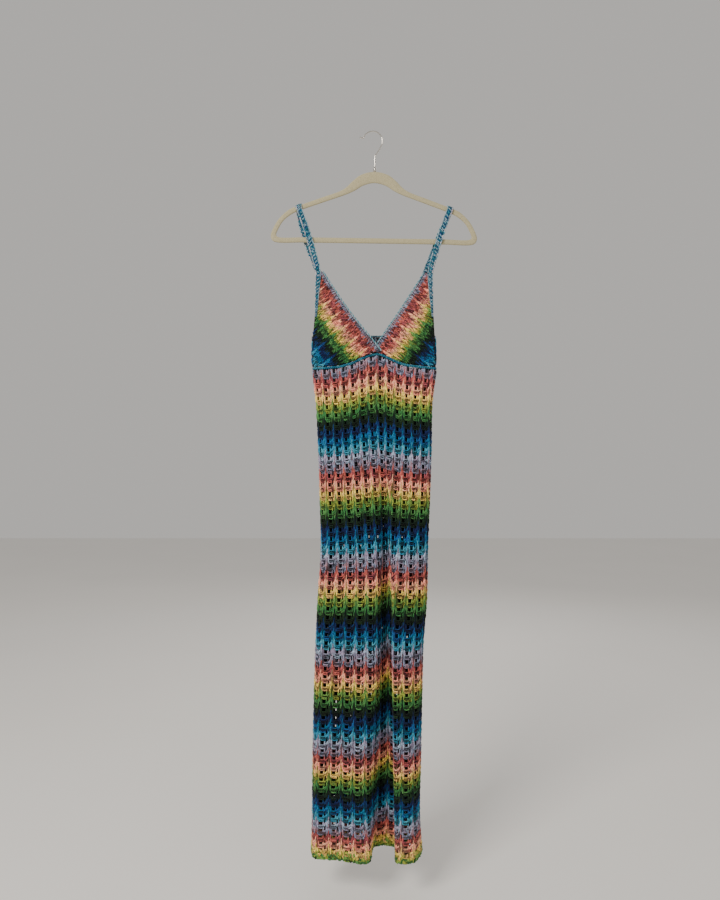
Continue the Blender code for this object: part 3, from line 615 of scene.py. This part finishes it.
def velvet_material():
    """Flock: a short pile in two tones with a strong sheen."""
    made, tree, shader = shader_material("velvet_flock", {
        "Roughness": 0.9, "Specular IOR Level": 0.2, "Sheen Weight": 0.6, "Sheen Roughness": 0.35,
        "Sheen Tint": (0.9, 0.82, 0.66, 1)})
    [pile] = noises(tree, (900.0, 2.0))
    ramp = two_tone(tree, (0.36, 0.32, 0.19), (0.52, 0.47, 0.30), 0.3, 0.7)
    bump = add_node(tree, "ShaderNodeBump", Strength=0.25, Distance=0.0003)
    join(tree, (pile, "Fac", ramp, "Fac"), (ramp, "Color", shader, "Base Color"),
         (pile, "Fac", bump, "Height"), (bump, "Normal", shader, "Normal"))
    return made


def chrome_material():
    """Polished wire, unevenly worn."""
    made, tree, shader = shader_material("polished_wire", {
        "Base Color": (0.62, 0.59, 0.54, 1), "Metallic": 1.0})
    [wear] = noises(tree, (400.0, 3.0))
    spread = add_node(tree, "ShaderNodeMapRange", **{"To Min": 0.08, "To Max": 0.3})
    join(tree, (wear, "Fac", spread, "Value"), (spread, "Result", shader, "Roughness"))
    return made


def floor_material():
    made, tree, shader = shader_material("pale_floor", {"Roughness": 0.9})
    [cloudy] = noises(tree, (2.0, 2.0))
    ramp = two_tone(tree, (0.84, 0.82, 0.79), (0.88, 0.86, 0.83))
    join(tree, (cloudy, "Fac", ramp, "Fac"), (ramp, "Color", shader, "Base Color"))
    return made


# Pieces

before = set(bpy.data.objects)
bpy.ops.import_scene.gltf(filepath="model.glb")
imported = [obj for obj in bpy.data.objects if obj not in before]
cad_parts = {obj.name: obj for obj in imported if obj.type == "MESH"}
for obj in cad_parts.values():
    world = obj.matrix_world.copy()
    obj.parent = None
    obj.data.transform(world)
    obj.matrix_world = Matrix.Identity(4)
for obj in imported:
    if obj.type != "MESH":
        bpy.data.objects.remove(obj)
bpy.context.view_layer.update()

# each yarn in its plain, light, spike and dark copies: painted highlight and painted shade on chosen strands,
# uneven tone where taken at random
lit_and_shaded_yarns = [yarn_material(f"yarn_{name}_{k}", np.array(first) * shade, np.array(second) * shade)
          for name, first, second in YARNS for k, shade in enumerate(TONE_AND_PAINTED_LIGHT)]
# near-black copies of each yarn for the nets' ground: painted shade between the strands
painted_shade_grounds = [yarn_material(f"ground_{name}", np.array(first) * GROUND_PAINTED_SHADE, np.array(second) * GROUND_PAINTED_SHADE)
           for name, first, second in YARNS]
strap_light = yarn_material("yarn_strap_light", (0.22, 0.36, 0.42), (0.36, 0.42, 0.48), 0.5)
strap_pink = yarn_material("yarn_strap_pink", (0.42, 0.36, 0.40), (0.60, 0.52, 0.54), 0.5)
strap_dark = yarn_material("yarn_strap_dark", (0.008, 0.06, 0.11), (0.012, 0.10, 0.15), 0.5)
band_teal = yarn_material("yarn_band_teal", (0.02, 0.17, 0.24), (0.05, 0.26, 0.32), 0.6)
cord_blue = yarn_material("yarn_cord_blue", (0.006, 0.045, 0.16), (0.01, 0.10, 0.22), 0.5)


def place(piece, slot, *nodes):
    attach(piece, "root")
    if nodes:
        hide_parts(*nodes)
    return piece


# Skirt
skirt = skirt_cloth()
row_slots = np.arange(ROWS) % len(YARNS)
base = net_base("skirt_painted_shade_ground", skirt, ALL_ROUND, ROWS, row_slots, painted_shade_grounds)
place(base, "striped_crochet", "skirt_front", "skirt_back")


def hem_stitches(yarn, columns):
    """Plump stitches that roll over the hem, in the last row's colour and the two after it."""
    around = np.linspace(*columns, 2 * COLUMNS * COLUMN_PARTS + 1)
    rim, _ = skirt.at(around, np.full(len(around), float(ROWS)))
    length = lengths_along(rim)
    for pitch, radius, rows_in, out, choices, shares in HEM_TIERS:
        start = np.interp(np.arange(pitch / 2, length[-1] - pitch / 2, pitch), length, around)
        lean = pitch / length[-1] * (columns[1] - columns[0]) * rng.uniform(*HEM_LEAN, (len(start), 1))
        row = ROWS - np.array(rows_in) + rng.normal(0, HEM_STRAY, (len(start), 1))
        places, normals = skirt.at(start[:, None] + lean * np.array((-1.0, 0.0, 1.0)), row)
        radii = HEM_TAPER * radius * rng.uniform(*HEM_SPREAD, (len(start), 1))
        picks = rng.choice(choices, len(start), p=shares)
        yarn.add(places + normals * (MIDDLE + np.array(out))[:, None], normals, radii, picks)


for label, columns in (("front", (0, COLUMNS)), ("back", (COLUMNS, ALL_ROUND))):
    for part, rows in (("upper", (0, HALF_WAY)), ("lower", (HALF_WAY, ROWS))):
        yarn = net_yarn(skirt, columns, rows, row_slots, 1.0 if label == "front" else BACK_STOUTNESS)
        if part == "lower":
            hem_stitches(yarn, columns)
        piece = yarn.make(f"skirt_yarn_{label}_{part}", lit_and_shaded_yarns)
        place(piece, "striped_crochet")


def girth(row):
    """The skirt's length round along a row line, in metres."""
    count = 2 * ALL_ROUND * COLUMN_PARTS + 1
    places, _ = skirt.at(np.linspace(0, ALL_ROUND - 1e-4, count), np.full(count, float(row)))
    return lengths_along(places)[-1] * MM


top_round, middle_round, hem_round = girth(0), girth(HALF_WAY), girth(ROWS)


# Bodice: cups and back
CUP_OUTLINE = (16, 8, 32)  # parts of a cup's outer edge by the armhole, the side and the waist


def cup_outline(side, neck, centre_x):
    """The cup's neckline and its outer edge, from its top to the centre."""
    heights = [row[0] for row in BODICE_EDGE]
    low = WAIST_Z + BAND_HEIGHT / 2
    armhole = [z for z in heights if z > UNDERARM_Z] + [UNDERARM_Z]
    seam = [UNDERARM_Z] + [z for z in heights if low < z < UNDERARM_Z] + [low]
    parts = [[(side * float(bodice_reach(side, z)), z) for z in part] for part in (armhole, seam)]
    parts.append([(x, low + float(waist_rise(x))) for x in np.linspace(parts[1][-1][0], centre_x, 24)])
    found = [parts[0][:1]]
    for part, stations in zip(parts, CUP_OUTLINE):
        found.append(at_fractions(np.array(part), np.linspace(0, 1, stations + 1))[1:])
    edge = np.vstack(found)
    return at_fractions(curve_through(neck), np.linspace(0, 1, len(edge))), edge


CUP_BANDS = (
    # yarn, and how far from the neckline it ends
    (10, 2.0), (0, 8.5), (1, 28.5), (2, 41.0), (3, 54.0), (4, 62.0), (5, 78.0), (6, 91.0), (7, 103.0),
    (8, 118.0), (9, 400.0),
)
CUP_BLEND = 2.2  # how far a stitch's colour strays over a band's end
# the cups' ground is near-black, painted shade between the stitches
CUP_GROUND_DEPTH = 0.2  # of the cups' ground, under the cloth's middle
CUP_PAST_CENTRE = 4.0
CUP_ROWS = 40  # of the ground's faces
CUP_RISE = 5.0  # of the row lines at a spike
CUP_RISE_FROM = (4.0, 30.0)  # distances from the neckline over which it grows
CUP_FIELD = (-60, 90, 0.5, 190)  # where stitches are tried: before, past and away from the neckline
STITCH_PITCH = 4.3
STITCH_HEIGHT = 6.2
STITCH_STRAY = 0.25
STITCH_NEAREST = 0.3  # to the neckline
STITCH_SHARES = (0.45, 0.3, 0.25)  # of the common shades
STITCH = np.array((
    # of each point: pitches aside, heights down, how far out and radius
    (0.42, -0.12, -1.4, 0.85), (0.28, 0.5, -0.2, 1.3), (0.06, 1.12, -1.0, 0.85),
))
SPIKE_PITCH = 32.0
SPIKE_HALF = 0.13  # of the pitch
SPIKES_FROM = 2  # first band whose end has spikes
SPIKES = ((0.0, 13.0), (-1.8, 6.0), (2.0, 7.0))  # strands of a spike: how far aside and how far up
SPIKE = np.array((
    # of each point: share of the way aside and up, how far down, how far out and radius
    (0.15, 1.0, 0.0, -0.3, 0.5), (0.6, 0.45, 0.0, 0.6, 0.9), (1.0, 0.0, 3.0, -0.2, 1.2),
))


def cup_rise(s, depth):
    """How far a row line rises at a place along the neckline and a distance from it, most at the spikes."""
    at_spike = np.exp(-((((s / SPIKE_PITCH + 0.5) % 1 - 0.5) / SPIKE_HALF) ** 2))
    return CUP_RISE * smooth_step(*CUP_RISE_FROM, depth) * at_spike


def band_of(depth):
    """The yarn at a distance from the neckline."""
    order, ends = np.array(CUP_BANDS).T
    return order.astype(int)[np.searchsorted(ends, np.clip(depth, 0, ends[-1] - 1))]


def inside(points, polygon):
    """Whether points lie in a closed polygon, all in one plane."""
    x, z = points[..., 0], points[..., 1]
    found = np.zeros(x.shape, bool)
    for (x1, z1), (x2, z2) in zip(polygon, np.roll(polygon, -1, axis=0)):
        crosses = (z1 > z) != (z2 > z)
        found ^= crosses & (x < (x2 - x1) * (z - z1) / (z2 - z1 + 1e-12) + x1)
    return found


def on_face(face_y, flat, step=1.0):
    """Places and outward normals, at points of x and z, of a face given as y over them."""
    x, z = flat[..., 0], flat[..., 1]
    slope_x = (face_y(x + step, z) - face_y(x - step, z)) / (2 * step)
    slope_z = (face_y(x, z + step) - face_y(x, z - step)) / (2 * step)
    return upright(flat, face_y(x, z)), unit(np.stack([slope_x, -np.ones_like(slope_x), slope_z], axis=-1))


def make_cup(name, side, neck, face_y):
    """A cup's ground, near-black as painted shade between the stitches, and its stitches, which lean both ways
    along rows that follow the neckline.
    """
    neck_line, edge = cup_outline(side, neck, neck[-1][0] + side * CUP_PAST_CENTRE)
    share = np.linspace(0, 1, CUP_ROWS + 1)[:, None, None]
    flat = neck_line + (edge - neck_line) * share
    outer, normals = on_face(face_y, flat)
    ground = outer - normals * (CLOTH / 2 + CUP_GROUND_DEPTH)
    curve = curve_through(neck, steps=40)
    length = lengths_along(curve)
    tangents = unit(np.gradient(curve, axis=0))
    outward = np.column_stack([-tangents[:, 1], tangents[:, 0]]) * side
    middles = (flat[:-1, :-1] + flat[1:, 1:]) / 2
    nearest = np.argmin(np.linalg.norm(middles.reshape(-1, 1, 2) - curve, axis=-1), axis=1)
    depth = np.sum((middles.reshape(-1, 2) - curve[nearest]) * outward[nearest], axis=-1)
    depth = depth + cup_rise(length[nearest], depth)
    faces = grid_faces(ground.shape).reshape(-1, 4)
    # the cup's ground takes the near-black copies of the yarns: painted shade
    base = add_mesh(name + "_ground", ground.reshape(-1, 3), faces, painted_shade_grounds, band_of(depth))

    outline = np.vstack([neck_line, edge[::-1]])
    yarn = Yarn()

    def on_cup(s, depth):
        """Flat x and z at a place along the neckline and a distance from it, past its ends too."""
        before, past = np.minimum(s, 0), np.maximum(s - length[-1], 0)
        line = at_lengths(curve, length, s)
        line = line + before[..., None] * tangents[0] + past[..., None] * tangents[-1]
        return line + unit(at_lengths(outward, length, s)) * (depth - cup_rise(s, depth))[..., None]

    def lay(s, depth, out, radii, slots):
        """Add those strands that lie in the outline with all their points."""
        flat = on_cup(s, depth)
        kept = inside(flat, outline).all(axis=1)
        places, normals = on_face(face_y, flat[kept])
        yarn.add(places + normals * out[:, None], normals, radii, slots[kept])

    before, past, nearest_row, farthest = CUP_FIELD
    along, down = (g.ravel() for g in np.meshgrid(
        np.arange(before, length[-1] + past, STITCH_PITCH), np.arange(nearest_row, farthest, STITCH_HEIGHT),
        indexing="ij"))
    stray = rng.normal(0, STITCH_STRAY, (len(along), 1))
    aside, lower, out, radii = STITCH.T
    for lean in (-1, 1):
        s = along[:, None] + lean * STITCH_PITCH * aside + stray
        depth = np.maximum(down[:, None] + STITCH_HEIGHT * lower, STITCH_NEAREST)
        bands = band_of(down + STITCH_HEIGHT * 0.5 + rng.normal(0, CUP_BLEND, len(down)))
        lay(s, depth, out, radii, bands * len(TONE_AND_PAINTED_LIGHT) + rng.choice(COMMON_SHADES, len(down), p=STITCH_SHARES))
    lines = np.arange(-2 * SPIKE_PITCH, length[-1] + 3 * SPIKE_PITCH, SPIKE_PITCH)
    aside, up, lower, out, radii = SPIKE.T
    for (_, end), (after, _) in zip(CUP_BANDS[SPIKES_FROM:-1], CUP_BANDS[SPIKES_FROM + 1:]):
        for lean, reach in SPIKES:
            depth = end + (lower - reach * up) + np.zeros((len(lines), 1))
            # spikes take the light copy of the next band's yarn: painted highlight on the raised spikes
            slots = np.full(len(lines), after * len(TONE_AND_PAINTED_LIGHT) + 1)
            lay(lines[:, None] + lean * aside, depth, out, radii, slots)
    return base, yarn.make(name + "_yarn", lit_and_shaded_yarns)


SIDES = (("left", -1, LEFT_NECK, left_cup_y), ("right", 1, RIGHT_NECK, bodice_front_y))
for label, side, neck, face_y in SIDES:
    base, yarn_piece = make_cup(f"cup_{label}", side, neck, face_y)
    place(base, "cup_crochet", f"cup_{label}")
    place(yarn_piece, "cup_crochet")
    size = sum(p.area for p in base.data.polygons)

# Back of the bodice: four rows of the same net
BACK_ROWS = 4
BACK_SLOTS = np.array((10, 9, 8, 8))
BACK_LEVELS = 24
line = at_fractions(WAIST_BACK, np.linspace(0, 1, COLUMNS * COLUMN_PARTS + 1))[::-1]
heights = np.linspace(UNDERARM_Z, WAIST_Z + BAND_HEIGHT / 2 + BAND_CLEAR, BACK_LEVELS)
grid = [np.column_stack([back_x(line[:, 0], z), line[:, 1], np.full(len(line), z)]) for z in heights]
back = Cloth(np.array(grid), lambda row: row / BACK_ROWS * (BACK_LEVELS - 1), BACK_ROWS)
back_base = net_base("bodice_back_painted_shade_ground", back, COLUMNS, BACK_ROWS, BACK_SLOTS, painted_shade_grounds)
back_yarn = net_yarn(back, (0, COLUMNS), (0, BACK_ROWS), BACK_SLOTS).make("bodice_back_yarn", lit_and_shaded_yarns)
place(back_base, "cup_crochet", "bodice_back")
place(back_yarn, "cup_crochet")


# Cords and edgings
CORDS = {
    # half width across and through, strands, their radius and pitch, and the sides of a strand
    "waist": (1.1, 2.0, 4, 0.95, 8.0, YARN_SIDES),
    "neck": (0.9, 0.95, 3, 1.0, 9.0, 4),
    "back": (0.85, 0.75, 2, 0.95, 7.0, 4),
}
CORD_CORE = 0.9  # radius of a cord's core, of its smaller half width
CORD_STEPS = 8  # along a strand, per pitch
CORD_POINTS = 97  # on the path of a cord round the body
NECK_POINTS = 61
NECK_SPAN = (0.012, 0.985)  # shares of the neckline at which its edging starts and ends
BACK_SPAN = (0.02, 0.98)
BACK_LEAN = 0.4  # how much the back edging's way inward leans to the middle at its ends


def lay_cord(node, path, across, kind, materials):
    """Strands that wind round a path, as a crocheted cord or edging in the place of a node."""
    half_across, half_through, strands, radius, pitch, sides = CORDS[kind]
    length = lengths_along(path)
    share = np.linspace(0, 1, int(length[-1] / pitch * CORD_STEPS) + 1)
    line = at_fractions(path, share)
    along = unit(np.gradient(line, axis=0))
    side = at_lengths(across, length, share * length[-1])
    side = unit(side - along * np.sum(side * along, axis=1, keepdims=True))
    through = np.cross(along, side)
    yarn = Yarn(sides)
    for strand in range(strands):
        angle = 2 * math.pi * (share * length[-1] / pitch + strand / strands)
        wound = line + side * (half_across * np.cos(angle))[:, None]
        wound = wound + through * (half_through * np.sin(angle))[:, None]
        away = unit(wound - line + 1e-9)
        yarn.add(wound[None], away[None], radius, [strand % len(materials)])
    yarn.add(line[None], side[None], min(half_across, half_through) * CORD_CORE, [0])
    place(yarn.make(node + "_cord", materials), "teal_yarn", node)


def waist_path(plan, follows_waist):
    """The middle line of a waist cord, and the way inward along it."""
    line = at_fractions(plan, np.linspace(0, 1, CORD_POINTS))
    rise = waist_rise(line[:, 0]) if follows_waist else np.zeros(len(line))
    path = np.column_stack([line, WAIST_Z + rise])
    inward = unit(np.cross(np.gradient(path, axis=0), (0.0, 0.0, 1.0)))
    inward *= np.sign(np.sum((np.array((0.0, 0.0, WAIST_Z)) - path) * inward, axis=1, keepdims=True))
    for end in (0, -1):
        inward[end] = (-math.copysign(1, path[end, 0]), 0, 0)
    return path + inward * CLOTH / 2, inward


for label, plan in (("front", WAIST_FRONT), ("back", WAIST_BACK)):
    path, inward = waist_path(plan, label == "front")
    lay_cord(f"waist_band_{label}", path, inward, "waist", [cord_blue, band_teal, strap_dark, band_teal])

for label, side, neck, face_y in SIDES:
    line = at_fractions(curve_through(neck), np.linspace(*NECK_SPAN, NECK_POINTS))
    tangents = unit(np.gradient(line, axis=0))
    outward = np.column_stack([tangents[:, 1], -tangents[:, 0]]) * side
    line = line + outward * (EDGING_HALF + EDGING_CLEAR)
    path = upright(line, face_y(line[:, 0], line[:, 1]) + CLOTH / 2)
    lay_cord(f"neck_edging_{label}", path, upright(outward), "neck", [strap_light, band_teal, strap_light])

line = at_fractions(WAIST_BACK, np.linspace(*BACK_SPAN, CORD_POINTS))
x = back_x(line[:, 0], UNDERARM_Z)
inward = unit(np.column_stack([-BACK_LEAN * x / bodice_reach(x, UNDERARM_Z), np.full(len(x), -1.0)]))
plan = np.column_stack([x, line[:, 1]]) + inward * CLOTH / 2
path = np.column_stack([plan, np.full(len(x), UNDERARM_Z + GAP + EDGING_HALF)])
across = np.column_stack([-inward, np.zeros(len(x))])
lay_cord("back_top_edging", path, across, "back", [band_teal, strap_dark])


# Hanger
def rounded(sides, power=3.0):
    """A ring between a circle, power 2, and a square, as large as it fits in one."""
    angles = 2 * math.pi * (np.arange(sides) + 0.5) / sides
    found = np.column_stack([np.cos(angles), np.sin(angles)])
    found = np.sign(found) * np.abs(found) ** (2 / power)
    return found / np.abs(found).max(axis=0)


def add_rings(name, rings, material, closed=False):
    """A tube from its rings, by station and place round it. A closed one joins its last ring to its first."""
    here = np.arange(rings.shape[0] * rings.shape[1]).reshape(rings.shape[:2])
    if closed:
        here = np.vstack([here, here[:1]])
    after = np.roll(here, -1, axis=1)
    faces = np.stack([here[:-1], after[:-1], after[1:], here[1:]], axis=-1)
    return add_mesh(name, rings.reshape(-1, 3), faces.reshape(-1, 4), [material])


def hanger_edges(steps):
    """The hanger's outer and inner edges, both halves, turned by its tilt."""
    half = np.array(HANGER_HALF)
    bottom = half[-1].copy()
    bottom[[0, 2]] = 0
    loop = np.vstack([half, bottom, half[1:][::-1] * (-1, 1, -1, 1)])
    c, s = math.cos(HANGER_TILT), math.sin(HANGER_TILT)
    turned = []
    for edge in (curve_through(loop[:, :2], steps, True), curve_through(loop[:, 2:], steps, True)):
        rel = edge - np.array((0.0, NECK[1]))
        turned.append(np.column_stack([rel[:, 0] * c + rel[:, 1] * s, rel[:, 1] * c - rel[:, 0] * s]) + NECK)
    return turned


outer, inner = hanger_edges(steps=9)
middle, reach = upright((outer + inner) / 2), upright((outer - inner) / 2)
ring = rounded(HANGER_SIDES)
rings = middle[:, None] + reach[:, None] * ring[:, :1] + np.array((0, HANGER_THICK / 2, 0)) * ring[:, 1:]
place(add_rings("hanger_flocked", rings, velvet_material(), True), "velvet_coating", "hanger_body")

angles = np.radians(np.arange(HOOK_ARC[0], HOOK_ARC[1] - 1, -10.0))
round_part = np.column_stack([np.cos(angles), np.sin(angles)]) * HOOK_RADIUS + HOOK_CENTRE
stem_x = NECK[0]
points = [HOOK_TIP, (HOOK_TIP[0] + 3.5, HOOK_TIP[1] - 1.5), *round_part]
points += [(stem_x + aside, z) for aside, z in HOOK_STEM]
points.append((stem_x, COLLAR_TOP_Z))
collar = [(stem_x, COLLAR_TOP_Z - 0.4), (stem_x, COLLAR_TOP_Z - 1.2), (stem_x, NECK[1] + GAP)]
path = upright(np.vstack([curve_through(points, steps=5), collar]))
radii = np.full(len(path), HOOK_WIRE)
radii[-2:], radii[-3] = COLLAR_RADIUS, COLLAR_RADIUS * 0.8
side = np.cross(unit(np.gradient(path, axis=0)), (0.0, 1.0, 0.0))
turns = 2 * math.pi * np.arange(WIRE_SIDES) / WIRE_SIDES
rings = path[:, None] + radii[:, None, None] * (
    side[:, None] * np.cos(turns)[:, None] + np.array((0.0, 1.0, 0.0)) * np.sin(turns)[:, None])
ends = np.repeat(path[[0, -1]], WIRE_SIDES, axis=0).reshape(2, WIRE_SIDES, 3)
rings = np.concatenate([ends[:1], rings, ends[1:]])
place(add_rings("hanger_wire_hook", rings, chrome_material()), "chrome_wire", "hanger_hook")


# Straps
def arm_top(x):
    """Height of the hanger's upper edge at x."""
    outer, _ = hanger_edges(steps=3)
    upper = outer[outer[:, 1] > ARMS_ABOVE_Z]
    order = np.argsort(upper[:, 0])
    return float(np.interp(x, upper[order, 0], upper[order, 1]))


def strap_path(right, arm_x, back_end_x, back_swing):
    """Middle line, widths and direction across of a strap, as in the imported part. right is 0 or 1."""
    face_y = (left_cup_y, bodice_front_y)[right]
    lift = GAP + STRAP_THICK / 2
    points = [(xs[right], float(face_y(xs[right], z)) - lift, z) for z, _, *xs in STRAP_FRONT_RUN]
    widths = [width for _, width, *_ in STRAP_FRONT_RUN]
    turn = HANGER_THICK / 2 + STRAP_CLEAR + STRAP_THICK / 2
    top = arm_top(arm_x) + STRAP_CLEAR + STRAP_THICK / 2 - turn
    last, front_top, back_top = (np.array(p) for p in (points[-1], (arm_x, -turn, top), (arm_x, turn, top)))
    for part in STRAP_BOW_PARTS:
        bow = math.copysign(STRAP_BOW * 4 * part * (1 - part), arm_x)
        points.append(last + (front_top - last) * part - (bow, 0, 0))
    for degrees in range(180, -1, -30):
        angle = math.radians(degrees)
        points.append((arm_x, turn * math.cos(angle), top + turn * math.sin(angle)))
    end_y = float(back_y(back_end_x, UNDERARM_Z)) + STRAP_OFF_BACK + STRAP_THICK / 2
    back_end = np.array((back_end_x, end_y, STRAP_BACK_END_Z))
    for part, share in STRAP_BACK_RUN:
        swing = math.copysign(back_swing * share, arm_x)
        shares = (part, min(part / STRAP_ON_BACK, 1), part)
        points.append(back_top + (back_end - back_top) * shares + (swing, 0, 0))
    widths += [STRAP_WIDTH] * (len(points) - len(widths))
    points = np.array(points)
    path = curve_through(points, steps=6)
    spread = np.interp(np.linspace(0, 1, len(path)), np.linspace(0, 1, len(widths)), widths)
    front_way, back_way = points[len(STRAP_FRONT_RUN)] - front_top, back_end - back_top
    slope = (math.atan2(-front_way[0], -front_way[2]) + math.atan2(-back_way[0], -back_way[2])) / 2
    return path, spread, np.array((math.cos(slope), 0.0, -math.sin(slope)))


STRAP_GROUND = (160, 10, 0.6)  # rings, points of a ring and half thickness of a strap's dark ground
STRAP_LOOP = 7.5  # pitch of the stitches along a strap
STRAP_FACE = 0.88  # share of the half width that the strands' middles keep to
STRAP_STRAY = 0.03  # of a strand across, in half widths
STRAP_SLIMMEST = 0.4  # least share of a strand's radius, where the strap is narrow
STRAP_STITCH = np.array((
    # of each point: loops along the strap, share of the way across and lift
    (-0.05, 0, -0.3), (0.18, 0.35, 0.3), (0.42, 0.75, 0.3), (0.62, 1, -0.3),
))
STRAP_STRANDS = (
    # where across the half width each strand starts and ends (inner edge 1), lift, radius,
    # and its yarns at whole and at half steps
    (-0.5, 0.55, 0.3, 1.1, (1, 1, 3, 2), (2, 0, 2)),
    (0.55, -0.45, 0.15, 1.1, (1, 3), (2, 1, 0)),
    (0.1, 0.3, -0.4, 1.0, (1, 3), (1, 0)),
    (-0.1, -0.35, -0.4, 1.0, (1, 3), (1, 0)),
    (0.85, 0.97, 0.1, 0.95, (2, 2, 2, 0), (2, 2, 0)),
    (-0.66, -0.82, 0.0, 1.05, (4, 0, 2, 1), (1, 3, 4)),
    (-0.97, -0.75, 0.1, 1.0, (2, 4, 2), (2, 0, 4)),
)


def make_strap(node, right, *run):
    """A strap's dark ground with its stitches on both faces."""
    path, widths, across = strap_path(right, *run)
    length = lengths_along(path)

    def strap_at(s, t):
        """Place, outward normal and half width at s along the strap and t across it."""
        place_at, ahead, behind = (at_lengths(path, length, s + step) for step in (0, 1, -1))
        along = unit(ahead - behind)
        side = unit(across - along * np.sum(across * along, axis=-1, keepdims=True))
        half = np.interp(s, length, widths) / 2
        return place_at + side * (half * t)[..., None], -np.cross(along, side), half

    stations, ring_points, half_thick = STRAP_GROUND
    s = np.linspace(0, length[-1], stations)
    rings = []
    for a, b in rounded(ring_points):
        places, out, _ = strap_at(s, np.full(len(s), a * STRAP_FACE))
        rings.append(places + out * b * half_thick)
    place(add_rings(node + "_ground", np.stack(rings, axis=1), strap_dark), "teal_yarn", node)

    yarn = Yarn()
    inner = -1 if right else 1
    starts = np.arange(0.5, length[-1] - STRAP_LOOP, STRAP_LOOP)
    along, aside, lifts = STRAP_STITCH.T
    for face in (1, -1):
        for start, end, lift, radius, *groups in STRAP_STRANDS:
            for half_step, choices in zip((0, 0.5), groups):
                s = starts[:, None] + STRAP_LOOP * (half_step + along)
                t = inner * (start + (end - start) * aside) + rng.normal(0, STRAP_STRAY, (len(starts), 1))
                places, out, half = strap_at(np.clip(s, 0, length[-1]), t * STRAP_FACE)
                scale = np.clip(half / (STRAP_WIDTH / 2), STRAP_SLIMMEST, 1)
                yarn.add(places + out * (face * (lifts + lift))[:, None], out * face,
                         radius * BULGES[4] * scale, rng.choice(choices, len(starts)))
    materials = [band_teal, strap_dark, strap_light, cord_blue, strap_pink]
    place(yarn.make(node + "_yarn", materials), "teal_yarn")


for right, (node, *run) in enumerate(STRAPS):
    make_strap(node, right, *run)

# Stage: a pale floor, soft studio light and the photo's camera, in metres but for the floor
FLOOR_Z = -1640.0
FLOOR_REACH = 6000.0
WORLD_LOOK = {"Color": (0.93, 0.90, 0.86, 1), "Strength": 0.55}
LIGHT_TARGET = (0.0, 0.0, -0.8)
LIGHTS = (
    # name, place, size, power and colour
    ("key", (-1.5, -2.0, 0.9), 1.1, 71, (1.0, 0.95, 0.88)),
    ("fill", (1.9, -1.9, -0.3), 1.8, 4, (1.0, 0.97, 0.94)),
    ("behind", (0.6, 2.2, 0.6), 2.0, 20, (1.0, 0.97, 0.94)),
)
CAMERA_PLACE = (-0.031, -1.5, -0.6865)
CAMERA_LENS = 27.78

corners = [(x * FLOOR_REACH, y * FLOOR_REACH, FLOOR_Z) for x, y in ((-1, -1), (1, -1), (1, 1), (-1, 1))]
floor_mesh = add_mesh("floor", corners, [[0, 1, 2, 3]], [floor_material()], smooth=False)

world = bpy.data.worlds.new("studio")
bpy.context.scene.world = world
world.use_nodes = True
for socket, value in WORLD_LOOK.items():
    world.node_tree.nodes["Background"].inputs[socket].default_value = value

for name, place_at, size, power, colour in LIGHTS:
    light = bpy.data.lights.new(name, "AREA")
    light.shape, light.size, light.energy, light.color = "SQUARE", size, power, colour
    way = np.array(LIGHT_TARGET) - np.array(place_at)
    lamp = add_object(name, light, place_at)
    lamp.rotation_euler = (math.acos(-way[2] / np.linalg.norm(way)), 0, math.atan2(way[0], -way[1]) + math.pi)

camera_data = bpy.data.cameras.new("camera")
camera_data.sensor_width = 36.0
camera_data.lens = CAMERA_LENS
camera_data.clip_start = 0.05
camera = add_object("camera", camera_data, CAMERA_PLACE)
camera.rotation_euler = (math.pi / 2, 0.0, 0.0)
bpy.context.scene.camera = camera
